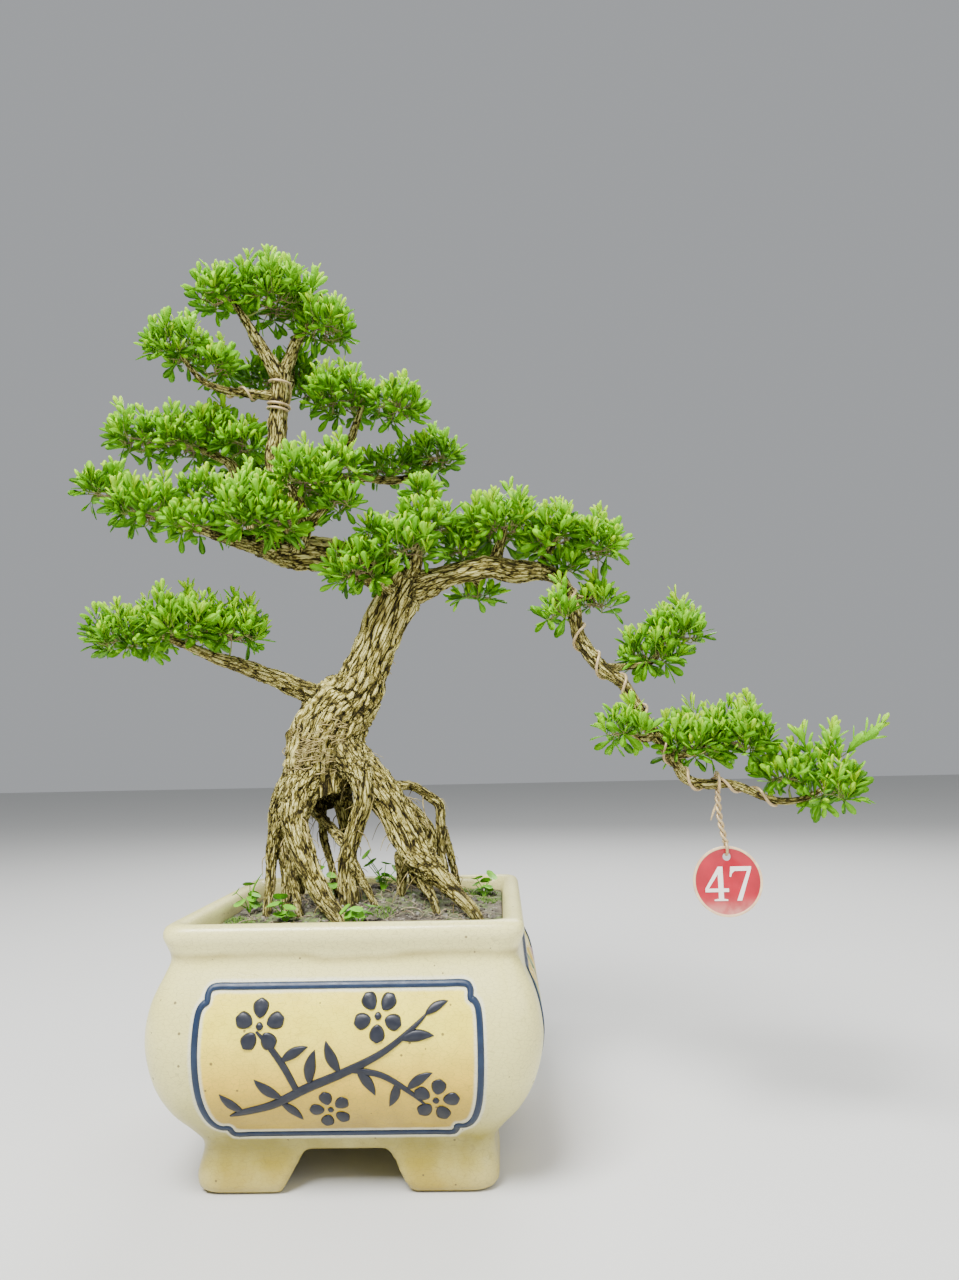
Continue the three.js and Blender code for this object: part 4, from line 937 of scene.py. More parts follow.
def soil_height(x, y):
    """Height of the soil: a mound at the roots, lower at the left wall, with small lumps."""
    dip = 3.0 * min(1.0, max(0.0, (-x - 55) / 45))
    lumps = noise.noise(Vector((x / 19, y / 19, 3))) * 2.4 + noise.noise(Vector((x / 6, y / 6, 8))) * 1.0
    return mound_height(x, y) - dip + lumps


def soil_finish(settings):
    """Grey-brown earth, damp in patches, with a green film where moss creeps in."""
    finish = Finish("potting_earth", **{"Specular IOR Level": 0.25})
    tree = finish.tree
    colour = mixed(tree, finish.mottle(140, 0.2), settings.dark_colour, settings.earth_colour)
    colour = mixed(tree, maths(tree, "MULTIPLY", finish.speckle(520, 0.3, 0.6), 0.6), colour,
                   settings.pale_colour)
    film = maths(tree, "MULTIPLY", finish.mottle(26, 0.12), finish.mottle(260, 0.2))
    colour = mixed(tree, maths(tree, "MULTIPLY", film, 0.6), colour, settings.moss_colour)
    finish.feed("Base Color", colour)
    finish.feed("Roughness", finish.varied(50, 0.2, 0.2, 0.75))
    grains = add_node(tree, "ShaderNodeTexNoise", {
        "Vector": finish.object, "Scale": 900.0, "Detail": 4.0}).outputs["Fac"]
    finish.bump(grains, 0.9 * MM, 0.8)
    return finish.material


def clamp_to_plan(x, y, half, corner):
    """A place pulled in to a square with round corners."""
    flat = half - corner
    dx, dy = abs(x) - flat, abs(y) - flat
    if dx > 0 and dy > 0:
        reach = max(math.hypot(dx, dy), 1e-6)
        scale = max(dx, dy) / reach
        return (math.copysign(flat + dx * scale, x), math.copysign(flat + dy * scale, y))
    return x, y


def make_soil(settings):
    """The earth that fills the pot: a lumpy top on a body that follows the pot's inner wall."""
    start_clean()
    bpy.ops.mesh.primitive_grid_add(x_subdivisions=SOIL_STEPS, y_subdivisions=SOIL_STEPS, size=2)
    soil = bpy.context.object
    soil.name = "soil_filled"
    places = []
    for x, y, _ in places_of(soil):
        x, y = clamp_to_plan(x * SOIL_HALF, y * SOIL_HALF, SOIL_HALF, 12)
        places.append((x, y, soil_height(x, y)))
    move_places(soil, to_frame(places))
    bpy.ops.object.mode_set(mode="EDIT")
    bpy.ops.mesh.select_all(action="SELECT")
    bpy.ops.mesh.region_to_loop()
    width = SOIL_HALF
    for half, height in SOIL_SIDE:
        bpy.ops.mesh.extrude_region_move()
        mesh = bmesh.from_edit_mesh(soil.data)
        for vertex in mesh.verts:
            if vertex.select:
                place = to_pot(vertex.co) * (half / width, half / width, 0)
                vertex.co = to_frame(place + (0, 0, height))
        bmesh.update_edit_mesh(soil.data)
        width = half
    bpy.ops.mesh.edge_face_add()
    bpy.ops.object.mode_set(mode="OBJECT")
    turn_outwards(soil)
    hand_over(soil, "soil", soil_finish(settings), "soil")


def scattered(name, template, seats):
    """Copies of a small shape in one mesh; a seat is place, size and three turning angles."""
    places, faces = template
    all_places, all_faces = [], []
    for place, size, turn in seats:
        spin = np.array(Matrix.Rotation(turn[2], 3, "Z") @ Matrix.Rotation(turn[1], 3, "Y")
                        @ Matrix.Rotation(turn[0], 3, "X"))
        base = len(all_places) * len(places)
        all_places.append((places * size) @ spin.T + place)
        all_faces.extend([[base + i for i in face] for face in faces])
    return mesh_piece(name, np.vstack(all_places), all_faces)


def template_of(piece):
    """Vertices and faces of a small object, which is then removed."""
    places = places_of(piece)
    faces = [list(face.vertices) for face in piece.data.polygons]
    bpy.data.objects.remove(piece)
    return places, faces


def crumb_template(seed):
    """A small stone: a ball of triangles, pushed out of round."""
    start_clean()
    bpy.ops.mesh.primitive_ico_sphere_add(subdivisions=1, radius=1)
    stone = bpy.context.object
    draw = random.Random(seed)
    places = places_of(stone)
    move_places(stone, places * np.array([[0.75 + 0.5 * draw.random()] for _ in places]))
    return template_of(stone)


def open_ground(draw, reach=101):
    """A random place on the soil."""
    x, y = (draw.uniform(-reach, reach) for _ in range(2))
    return x, y, soil_height(x, y)


def litter_finish(name, colour, dark, roughness=0.85):
    """Dry or damp crumbs and fibres: mottled between two colours."""
    finish = Finish(name, **{"Specular IOR Level": 0.3})
    tree = finish.tree
    shade = mixed(tree, finish.mottle(260, 0.25), dark, colour)
    finish.feed("Base Color", shade)
    finish.feed("Roughness", finish.varied(400, 0.3, 0.15, roughness))
    finish.bump(finish.mottle(1200, 0.4), 0.2 * MM, 0.6)
    return finish.material


def make_litter(settings):
    """What lies on the soil: crumbs and small stones, pale dead roots, and moss."""
    draw = random.Random(71)
    for name, count, low, high, colour in (
            ("soil_crumbs", 1000, 0.6, 2.1, settings.earth_colour),
            ("soil_stones", 240, 0.9, 2.6, settings.pale_colour)):
        seats = []
        for _ in range(count):
            x, y, z = open_ground(draw)
            size = np.array([draw.uniform(low, high) for _ in range(3)])
            seats.append(((x, y, z + size[2] * 0.2), size, [draw.uniform(0, 6) for _ in range(3)]))
        crumbs = scattered(name, crumb_template(count), seats)
        hand_over(crumbs, "soil", litter_finish(name, colour, settings.dark_colour))
    fibres = []
    for _ in range(DEAD_ROOTS):
        x, y, _ = open_ground(draw, 92)
        heading, length, bend = draw.uniform(0, 6.3), draw.uniform(6, 22), draw.uniform(-1.4, 1.4)
        thickness = draw.uniform(0.18, 0.5)
        fibre = []
        for share in np.linspace(0, 1, 6):
            angle = heading + bend * share
            fx, fy = x + math.cos(angle) * length * share, y + math.sin(angle) * length * share
            fx, fy = np.clip((fx, fy), -LITTER_HALF, LITTER_HALF)
            arch = math.sin(share * math.pi) * length * 0.12
            fibre.append((fx, fy, soil_height(fx, fy) + 0.5 + arch, thickness * (1.1 - 0.6 * share)))
        fibres.append(fibre)
    litter = tubes("dead_roots", fibres, sides=4)
    hand_over(litter, "soil", litter_finish("dead_root", settings.straw_colour,
                                            settings.straw_dark))
    make_moss(settings, draw)


def make_moss(settings, draw):
    """Cushions of moss: short pointed blades in patches, thickest at the front left."""
    patches = [(-78, -72, 20), (-96, -30, 14), (-52, -86, 16), (-30, -74, 13), (-86, 40, 15),
               (88, 62, 16), (70, 84, 13), (96, 20, 9), (18, -40, 10), (-4, -78, 8)]
    start_clean()
    bpy.ops.mesh.primitive_cone_add(vertices=3, radius1=0.5, depth=1, location=(0, 0, 0.5))
    cone = bpy.context.object
    bpy.ops.object.transform_apply(location=True, rotation=True, scale=True)
    template = template_of(cone)
    seats = []
    for px, py, radius in patches:
        for _ in range(int(radius * radius * 1.1)):
            angle, reach = draw.uniform(0, 6.3), radius * math.sqrt(draw.random())
            x, y = px + math.cos(angle) * reach, py + math.sin(angle) * reach
            if max(abs(x), abs(y)) > LITTER_HALF:
                continue
            cushion = 1.6 * (1 - (reach / radius) ** 2)
            size = np.array((1.0, 1.0, draw.uniform(1.6, 3.4)))
            place = (x, y, soil_height(x, y) + cushion - 0.5)
            seats.append((place, size, (draw.uniform(-0.6, 0.6), draw.uniform(-0.6, 0.6), angle)))
    moss = scattered("moss", template, seats)
    hand_over(moss, "soil", litter_finish("moss", settings.moss_colour, settings.moss_dark, 0.7))


# Wood

def bark_pattern(lie, plate):
    """Height of the bark, 0 in a fissure and 1 on a plate, and the coordinates it follows."""
    # noise_vector takes its offsets from the clock unless it is seeded
    noise.seed_set(BARK_SEED)
    mean = np.array([float(route.radii.mean()) for route in LIMB_ROUTES.values()])
    width = (plate / MM * np.clip(0.40 + mean / 28, 0.5, 1.1))[lie.limb]
    grain = np.column_stack([lie.across / width[:, None], lie.along / (width * BARK_STRETCH)])
    grain += lie.limb[:, None] * 7.3
    heights = np.empty(len(grain))
    for i, place in enumerate(grain):
        place = Vector(place)
        bent = place + noise.noise_vector(place * 0.5) * 0.8 + noise.noise_vector(place * 2.0) * 0.2
        near, far = noise.voronoi(bent * 0.85, distance_metric="DISTANCE")[0][:2]
        seam = abs(noise.noise(Vector((bent.x * 0.75, bent.y * 0.75, bent.z * 0.5))))
        crest = 1 - 2.0 * abs(noise.noise(Vector((bent.x * 2.1, bent.y * 2.1, bent.z * 1.1))))
        plate_height = min(1.0, (far - near) * 4.2, 0.15 + seam * 8.5)
        heights[i] = plate_height * (0.66 + 0.34 * crest)
    return np.clip(heights, 0, 1), grain


def bark_finish(settings):
    """Corky bark: pale straw ridges along the limb, parted by thin near-black fissures, with painted shade
    deepening the fissures and flanks and a painted highlight on the ridge tops.
    """
    finish = Finish("corky_bark", **{"Specular IOR Level": 0.15})
    tree = finish.tree
    grain = finish.attribute("grain", "Vector")
    ridge = finish.attribute("ridge")
    bend = add_node(tree, "ShaderNodeTexNoise", {"Vector": grain, "Scale": 0.8, "Detail": 3.0})
    bent = add_node(tree, "ShaderNodeVectorMath", {
        0: bend.outputs["Color"], 1: (0.9, 0.9, 0.6), 2: grain}, operation="MULTIPLY_ADD"
        ).outputs["Vector"]
    fibres = finish.mottle(2.4, 0.25, finish.scaled(bent, (2.8, 2.8, 0.7)))
    broad = add_node(tree, "ShaderNodeTexVoronoi", {"Vector": bent, "Scale": 0.95},
                     feature="DISTANCE_TO_EDGE").outputs["Distance"]
    narrow = add_node(tree, "ShaderNodeTexVoronoi", {
        "Vector": finish.scaled(bent, (1.0, 1.0, 0.7)), "Scale": 2.3},
        feature="DISTANCE_TO_EDGE").outputs["Distance"]
    deep = between(tree, broad, 0.0, 0.15)
    fine = between(tree, narrow, 0.0, 0.14)
    level = maths(tree, "MULTIPLY_ADD", fibres, 0.34, maths(tree, "MULTIPLY_ADD", ridge, 0.72, 0.06))
    level = maths(tree, "MULTIPLY", level, maths(tree, "MULTIPLY_ADD", deep, 0.75, 0.25))
    level = maths(tree, "MULTIPLY", level, maths(tree, "MULTIPLY_ADD", fine, 0.45, 0.55), clamp=True)
    # Colour by the bark's relief: the dark of the fissures and flanks is partly their own, partly painted
    # shade, and the pale of the ridge tops partly their own cork, partly a painted highlight
    colour = ramp(tree, level, [
        (0.10, settings.crevice_shade_colour), (0.25, settings.shaded_flank_colour),
        (0.43, settings.plate_colour), (0.76, settings.edge_colour)])
    colour = mixed(tree, finish.varied(38, 0.2, 0.22), colour,
                   settings.grey_colour, "MULTIPLY")
    straw = maths(tree, "MULTIPLY", finish.mottle(75, 0.15), maths(tree, "MULTIPLY", level, 0.4))
    colour = mixed(tree, straw, colour, settings.straw_colour)
    height = finish.split(finish.object)["Z"]
    foot = maths(tree, "SUBTRACT", 1.0, between(tree, height, 0.165, 0.200))
    damp = maths(tree, "MULTIPLY", foot, finish.varied(90, 0.2, 0.4, 0.1))
    colour = mixed(tree, damp, colour, settings.damp_colour)
    finish.feed("Base Color", colour)
    finish.feed("Roughness", maths(tree, "MULTIPLY_ADD", level, -0.15, 0.95))
    lines = maths(tree, "MULTIPLY_ADD", deep, 1.0, maths(tree, "MULTIPLY", fine, 0.5))
    finish.bump(maths(tree, "MULTIPLY_ADD", fibres, 0.6, lines), 1.4 * MM, 1.0)
    return finish.material


def carve_wood(name, limbs, fineness, settings, finish):
    """Tubes along limbs, grown into one skin and carved with bark."""
    routes = [round_ended(LIMB_ROUTES[limb].places, LIMB_ROUTES[limb].radii) for limb in limbs]
    wood = tubes(name, routes, sides=14)
    apply_modifier(wood, "REMESH", mode="VOXEL", voxel_size=fineness)
    apply_modifier(wood, "SMOOTH", factor=0.5, iterations=4)
    places = to_pot(places_of(wood))
    lie = NearestLimb(places)
    places = places - unit(lie.outward) * np.minimum(lie.gap, 0)[:, None]
    move_places(wood, to_frame(places))
    lie = NearestLimb(places)
    ridge, grain = bark_pattern(lie, settings.plate)
    depth = np.clip(0.10 * lie.radius + 0.45, 0.5, settings.relief / MM)
    lumps = np.array([noise.noise(Vector(place) / 13) + 0.5 * noise.noise(Vector(place) / 6)
                      for place in places])
    normals = np.empty(len(places) * 3)
    wood.data.vertices.foreach_get("normal", normals)
    rise = depth * (ridge - 0.68) + lumps * 0.13 * lie.radius
    move_places(wood, to_frame(places + normals.reshape(-1, 3) * rise[:, None]))
    store(wood, "ridge", ridge)
    store(wood, "grain", grain, "FLOAT_VECTOR")
    hand_over(wood, "bark", finish, "trunk_roots_branches")


def hanging_rootlets(draw):
    """Fine dead roots that hang from the roots and the trunk's foot."""
    seats = []
    for name, route in LIMB_ROUTES.items():
        if name == "trunk" or name.startswith("root_"):
            seats += [(route, i) for i in range(2, len(route.places) - 2)]
    strands = []
    for route, i in draw.sample(seats, HANGING_ROOTLETS):
        place, radius = route.places[i], route.radii[i]
        if place[2] < 178 or radius < 3:
            continue
        angle = draw.uniform(0, 6.3)
        out = route.normals[i] * math.cos(angle) + route.sides[i] * math.sin(angle)
        length = draw.uniform(6, 24) if place[2] < 300 else draw.uniform(3, 8)
        drift = np.array([draw.uniform(-0.5, 0.5) for _ in range(3)]) - UP * 0.7
        thick = draw.uniform(0.22, 0.5)
        strands.append([(*(place + out * (radius - 1)), thick),
                        (*(place + out * (radius + 0.2 * length) + drift * 0.2 * length), thick),
                        (*(place + out * (radius + 0.35 * length) + drift * 0.7 * length), 0.7 * thick),
                        (*(place + out * (radius + 0.4 * length) + drift * length), 0.4 * thick)])
    return strands


def clinging_rootlets(draw):
    """Curled dead roots that cling to the front where the roots part from the trunk."""
    strands = []
    for _ in range(CLINGING_ROOTLETS):
        share = draw.uniform(0.02, 0.26)
        angle, swing = draw.gauss(0.0, 0.8), draw.choice((-1, 1)) * draw.uniform(0.08, 0.36)
        slide = draw.choice((-1, 1)) * draw.uniform(0.02, 0.05)
        thick = draw.uniform(0.3, 0.62)
        strand = []
        for step in np.linspace(0, 1, 5):
            (place,), _, _, (radius,) = LIMB_ROUTES["trunk"].at([share + slide * step])
            turn = angle + swing * step + 0.14 * math.sin(step * 6 + angle * 9)
            out = np.array((math.sin(turn), -math.cos(turn), 0.0))
            lift = radius * 1.02 + 0.4 + 1.6 * math.sin(step * math.pi)
            strand.append((*(place + out * lift), thick * (1.1 - 0.6 * step)))
        strands.append(strand)
    return strands


def make_rootlets(settings):
    """Both kinds of dead rootlets, in one mesh."""
    draw = random.Random(23)
    strands = hanging_rootlets(draw) + clinging_rootlets(draw)
    rootlets = tubes("rootlets", [smooth_curve(strand, 3) for strand in strands], sides=4)
    hand_over(rootlets, "bark", litter_finish("rootlets", settings.rootlet_colour,
                                              settings.shaded_flank_colour))


def make_wood(settings):
    """The plant's wood in two parts that grow into each other: foot with roots, and crown."""
    finish = bark_finish(settings)
    lower = [name for name in LIMBS if name in ("trunk", "low_left") or name.startswith("root_")]
    upper = [name for name in LIMBS if name not in lower]
    carve_wood("trunk_and_roots_bark", lower, settings.foot_fineness, settings, finish)
    carve_wood("branches_bark", upper, settings.crown_fineness, settings, finish)
    make_rootlets(settings)


# Foliage

def leaf_template():
    """One leaf along +Z, its face towards +Y: three edges, drawn out through its stations."""
    stations = [(0.0, 0.12), (0.34, 0.50), (0.64, 0.97), (0.87, 0.88), (1.0, 0.34)]
    places = []
    for along, half in stations:
        curl = -0.16 * along * along
        places += [(half, 0.05 * half + curl, along), (0, curl - 0.07 * half, along),
                   (-half, 0.05 * half + curl, along)]
    faces = [[0, 1, 2], [14, 13, 12]]
    for level in range(len(stations) - 1):
        for k in range(3):
            a, b = 3 * level + k, 3 * level + (k + 1) % 3
            faces.append([a, a + 3, b + 3, b])
    return np.array(places, float), faces, np.array([0.5, 0, 0.5] * len(stations))


LEAF_PLACES, LEAF_FACES, LEAF_UPPER = leaf_template()


class Sprays:
    """Collects the leaves and the thin stems of one pad."""

    def __init__(self, seed):
        self.draw = random.Random(seed)
        self.leaves = []
        self.stems = []

    def leaf(self, foot, along, face, length, width, age_and_top_light):
        self.leaves.append((*foot, *along, *face, length, width, age_and_top_light, self.draw.random()))

    def jitter(self, reach):
        return np.array([self.draw.uniform(-reach, reach) for _ in range(3)])

    def shoot(self, points, settings, pairs, youth, heart, size=1.0):
        """A shoot through points, with pairs of leaves that turn a quarter from pair to pair."""
        draw = self.draw
        full = settings.leaf_length / MM * size
        curve = smooth_curve(points, 6)
        lengths = np.r_[0, np.cumsum(np.linalg.norm(np.diff(curve, axis=0), axis=1))]

        def pick(distance):
            return np.array([np.interp(distance, lengths, column) for column in curve.T])

        self.stems.append([(*place, 0.42 - 0.07 * i) for i, place in enumerate(curve[::4])])
        leafy = min(lengths[-1] * 0.92, (pairs - 1) * settings.pair_gap / MM * size)
        turn = draw.uniform(0, math.pi)
        for k in range(pairs + 1):
            share = k / pairs
            where = lengths[-1] - leafy * (1 - share)
            place, ahead = pick(where), unit(pick(min(where + 1, lengths[-1])) - pick(where - 1.5))
            light = unit(unit(place - heart) + UP * 0.5)
            side = unit(np.cross(ahead, (0.21, 0.32, 0.93)))
            other = np.cross(ahead, side)
            spread = math.radians(60 - 40 * share + draw.uniform(-9, 9))
            grown = full * (1.0 - 0.3 * share ** 3) * draw.uniform(0.84, 1.14)
            for half in (0, math.pi):
                angle = turn + half + draw.uniform(-0.3, 0.3)
                out = side * math.cos(angle) + other * math.sin(angle)
                along = unit(ahead * math.cos(spread) + out * math.sin(spread) + UP * 0.15)
                face = ahead * math.sin(spread) - out * math.cos(spread)
                face = face * 0.8 + light * 0.4 + self.jitter(0.5)
                width = grown * settings.leaf_slimness * draw.uniform(0.88, 1.12)
                self.leaf(place, along, face, grown, width, youth * (0.2 + 0.8 * share))
            turn += math.pi / 2


def lobe_share(place, lobe):
    """How far out a place lies in a lobe: 0 at its middle and 1 at its skin."""
    return float(np.linalg.norm((place - lobe[:3]) / lobe[3:]))


def shoot_aim(draw, k, count):
    """Where a lobe's shoot number k points: its flat direction, its rise, and whether it is low."""
    low = k >= count
    turn = k * GOLDEN_ANGLE + draw.uniform(-0.3, 0.3)
    level = 1 - 1.05 * (k + 0.5) / count
    rise = draw.uniform(-0.8, -0.05) if low else level + draw.uniform(-0.08, 0.08)
    return np.array((math.cos(turn), math.sin(turn), 0.0)), max(-1.0, min(1.0, rise)), low


def shoot_crest(draw, k, rise, low, height):
    """How far out a shoot ends, as a share of its lobe: every third one stands out."""
    crest = draw.uniform(0.66, 0.94)
    if k % 3 == 0:
        crest = draw.uniform(0.94, 1.06) + 4.0 * max(rise, 0) / height
    if low:
        crest = draw.uniform(0.8, 1.0)
    return crest


def grow_lobe(sprays, lobe, others, settings):
    """One lobe: its shoots fan out from its low middle to its skin and hang under it."""
    draw = sprays.draw
    leaf = settings.leaf_length / MM
    middle, radii = lobe[:3], lobe[3:]
    heart = middle - (0, 0, 0.45 * radii[2])
    joint = WOOD_CENTRES[np.linalg.norm(WOOD_CENTRES - heart, axis=1).argmin()]
    hub = (heart + joint) / 2
    if np.linalg.norm(joint - hub) > 3:
        sprays.stems.append([(*joint, 1.3), (*((joint + hub) / 2 - UP), 1.1), (*hub, 0.8)])
    span = float(np.prod(radii)) ** (1 / 3)
    count = max(9, round(5.2 * (span / (settings.shoot_gap / MM)) ** 2))
    forks = [hub]
    for k in range(count + round(count * settings.skirt_share)):
        out, rise, low = shoot_aim(draw, k, count)
        flat = math.sqrt(1 - rise * rise)
        aim = out * flat + UP * rise
        skin = middle + aim * radii * shoot_crest(draw, k, rise, low, radii[2])
        if any(lobe_share(skin, other) < LOBE_OVERLAP for other in others):
            continue
        foot = middle + aim * radii * (0.6, 0.6, 0.1) - UP * 0.45 * radii[2]
        foot = foot + sprays.jitter(3.0)
        length = max(5.0, float(np.linalg.norm(skin - foot)) - 0.7 * leaf)
        tip = foot + unit(skin - foot) * length
        elbow = (foot + tip) / 2 + out * 0.14 * length - UP * 0.13 * length * flat
        fork = min(forks, key=lambda place: np.linalg.norm(place - foot))
        if np.linalg.norm(fork - foot) > 4:
            sprays.stems.append([(*fork, 0.6), (*foot, 0.42)])
            forks.append((fork + foot) / 2)
        # Shoots that point up are brighter: partly new growth, partly painted top light
        youth = float(np.clip(0.66 + 0.28 * rise + draw.uniform(-0.22, 0.25), 0.1, 1))
        pairs = max(2, min(7, round(length / (settings.pair_gap / MM))))
        sprays.shoot([foot, elbow, tip], settings, pairs, youth, heart)


def grow_pad(name, settings):
    """All the shoots of one pad, lobe by lobe, and then its long shoots."""
    sprays = Sprays(900 + list(PADS).index(name))
    lobes = [np.array(lobe, float) for lobe in PADS[name]]
    for lobe in lobes:
        grow_lobe(sprays, lobe, [other for other in lobes if other is not lobe], settings)
    for pad, foot, tip in LONG_SHOOTS:
        if pad == name:
            foot, tip = np.array(foot, float), np.array(tip, float)
            sprays.shoot([foot, (foot + tip) / 2 - (0, 0, 1.5), foot + (tip - foot) * 0.8],
                         settings, 7, 1.0, foot - UP * 20, 1.1)
    return sprays


def leaf_mesh(name, leaves):
    """All the leaves of a pad in one mesh, with what the leaf material reads."""
    table = np.array(leaves)
    foot, along, face = table[:, :3], unit(table[:, 3:6]), table[:, 6:9]
    length, width, age_and_top_light, tint = table[:, 9], table[:, 10], table[:, 11], table[:, 12]
    face = unit(face - along * (face * along).sum(1)[:, None])
    side = np.cross(face, along)
    shape = LEAF_PLACES
    places = (foot[:, None]
              + side[:, None] * (shape[:, 0][:, None] * width[:, None, None] / 2)
              + face[:, None] * (shape[:, 1][:, None] * length[:, None, None] * 0.5)
              + along[:, None] * (shape[:, 2][:, None] * length[:, None, None]))
    low, high = to_pot(np.array(CAD_BOX[0])), to_pot(np.array(CAD_BOX[1]))
    tips = NearestLimb(places[:, -2])
    middles = NearestLimb(places[:, 7])
    keep = ((places > low + 0.3).all((1, 2)) & (places < high - 0.3).all((1, 2))
            & (tips.gap > 1) & (middles.gap > 0.5))
    places, age_and_top_light, tint = places[keep], age_and_top_light[keep], tint[keep]
    count = len(places)
    faces = []
    for k in range(count):
        base = k * len(shape)
        faces.extend([[base + i for i in corners] for corners in LEAF_FACES])
    piece = mesh_piece(name, places.reshape(-1, 3), faces)
    across = np.sign(shape[:, 0]) * (np.abs(shape[:, 0]) > 1e-6)
    local = np.column_stack([across, shape[:, 2], LEAF_UPPER])
    store(piece, "leaf_place", np.tile(local, (count, 1)), "FLOAT_VECTOR")
    store(piece, "leaf_age_and_top_light", np.repeat(age_and_top_light, len(shape)))
    store(piece, "leaf_tint", np.repeat(tint, len(shape)))
    return piece


def leaf_finish(name, settings, back_shade=0.0):
    """Leaves from old dark green to new yellow-green, with a pale rib and paler undersides; upward shoots
    are brighter as painted top light, and the copy for the back pads is darker as painted shade.
    """
    finish = Finish(name, **{"Coat Weight": 0.05, "Coat Roughness": 0.3,
                             "Specular IOR Level": 0.22, "IOR": 1.45})
    tree = finish.tree
    place = finish.split(finish.attribute("leaf_place", "Vector"))
    tint = finish.attribute("leaf_tint")
    age_and_top_light = maths(tree, "MULTIPLY_ADD", tint, 0.5, finish.attribute("leaf_age_and_top_light"))
    # Pads at the back take a darker copy of this material: painted shade
    age_and_top_light = maths(tree, "SUBTRACT", age_and_top_light, 0.25 + back_shade)
    age_and_top_light = maths(tree, "MULTIPLY_ADD", place["Y"], 0.10, age_and_top_light, clamp=True)
    colour = ramp(tree, age_and_top_light, [
        (0.0, settings.old_colour), (0.35, settings.mid_colour), (0.68, settings.leaf_colour),
        (1.0, settings.new_colour)])
    rib = maths(tree, "SUBTRACT", 1.0, between(tree, maths(tree, "ABSOLUTE", place["X"]), 0.03, 0.2))
    colour = mixed(tree, maths(tree, "MULTIPLY", rib, 0.35), colour, settings.rib_colour)
    under = maths(tree, "SUBTRACT", 1.0, between(tree, place["Z"], 0.05, 0.45))
    colour = mixed(tree, maths(tree, "MULTIPLY", under, 0.35), colour, settings.under_colour)
    colour = mixed(tree, finish.varied(420, 0.25, 0.22), colour,
                   settings.mid_colour)
    finish.feed("Base Color", colour)
    finish.feed("Roughness", maths(tree, "MULTIPLY_ADD", tint, 0.16, 0.34))
    veins = add_node(tree, "ShaderNodeTexWave", {
        "Vector": finish.attribute("leaf_place", "Vector"), "Scale": 2.6, "Distortion": 1.2},
        bands_direction="Y").outputs["Fac"]
    finish.bump(maths(tree, "MULTIPLY_ADD", veins, 0.25, rib), 0.25 * MM, 0.6)
    glow = add_node(tree, "ShaderNodeBsdfTranslucent", {
        "Color": mixed(tree, 0.5, colour, settings.new_colour)})
    leaf = add_node(tree, "ShaderNodeMixShader", {0: 0.36, 1: finish.shader.outputs[0],
                                                  2: glow.outputs[0]})
    output = next(node for node in tree.nodes if node.type == "OUTPUT_MATERIAL")
    tree.links.new(leaf.outputs[0], output.inputs["Surface"])
    return finish.material


def twig_finish(settings):
    """Thin stems: straw-brown inside the pad and green where the shoot is new."""
    finish = Finish("twigs", **{"Specular IOR Level": 0.3})
    tree = finish.tree
    colour = mixed(tree, finish.mottle(300, 0.25), settings.twig_dark, settings.twig_colour)
    youth = between(tree, finish.attribute("outward"), 0.45, 0.9)
    colour = mixed(tree, maths(tree, "MULTIPLY", youth, 0.7), colour, settings.green_stem)
    finish.feed("Base Color", colour)
    finish.feed("Roughness", finish.varied(500, 0.3, 0.2, 0.6))
    finish.bump(finish.mottle(900, 0.4), 0.2 * MM, 0.7)
    return finish.material


def make_foliage(settings):
    """Every pad: leaves in one mesh each, and all the thin stems in one."""
    bright = leaf_finish("leaves", settings)
    shaded_back_leaves = leaf_finish("leaves_shaded_at_the_back", settings, 0.16)
    stems = []
    for name in PADS:
        sprays = grow_pad(name, settings)
        leaves = leaf_mesh(f"leaves_{name}", sprays.leaves)
        # Pads at the back get the darker copy of the leaf material: painted shade
        dark = name in ("upper_back", "right_back", "back")
        hand_over(leaves, "leaf_dark" if dark else "leaf", shaded_back_leaves if dark else bright,
                  f"foliage_{name}")
        stems += sprays.stems
    twigs = tubes("twigs", stems, sides=4)
    places = to_pot(places_of(twigs))
    shares = np.full(len(places), 9.0)
    for lobes in PADS.values():
        for lobe in np.array(lobes, float):
            shares = np.minimum(shares, np.linalg.norm((places - lobe[:3]) / lobe[3:], axis=1))
    store(twigs, "outward", np.clip(shares, 0, 1.2))
    hand_over(twigs, "bark", twig_finish(settings))


# Weeds

def round_leaf(tip, lean, radius, draw):
    """A soft round leaf: a domed disc, notched where its stem meets it and folded a little."""
    places, faces = [], []
    count = 10
    notch = draw.uniform(0, 6.3)
    for side in (1, -1):
        places.append((0, 0, 0.25 * side))
        for ring, reach in ((0, 0.55), (1, 1.0)):
            for k in range(count):
                angle = 2 * math.pi * k / count
                deep = 0.75 if k == 0 else 1.0
                wave = 0.10 * math.sin(3 * angle + notch)
                lift = 0.18 * reach ** 2 * radius * (1 + wave) * (0.5 + abs(math.sin(angle)))
                thick = 0.0 if ring else 0.2 * side
                places.append((math.cos(angle) * reach * radius * deep,
                               math.sin(angle) * reach * radius * deep, lift + thick))
    half = 1 + 2 * count
    for side in (0, 1):
        base = side * half
        for k in range(count):
            a, b = base + 1 + k, base + 1 + (k + 1) % count
            inner, outer = [base, a, b], [a, a + count, b + count, b]
            faces += [inner, outer] if side == 0 else [inner[::-1], outer[::-1]]
    places = np.array(places)
    spin = np.array(Matrix.Rotation(lean[0], 3, "X") @ Matrix.Rotation(lean[1], 3, "Y")
                    @ Matrix.Rotation(notch, 3, "Z"))
    return places @ spin.T + tip, faces


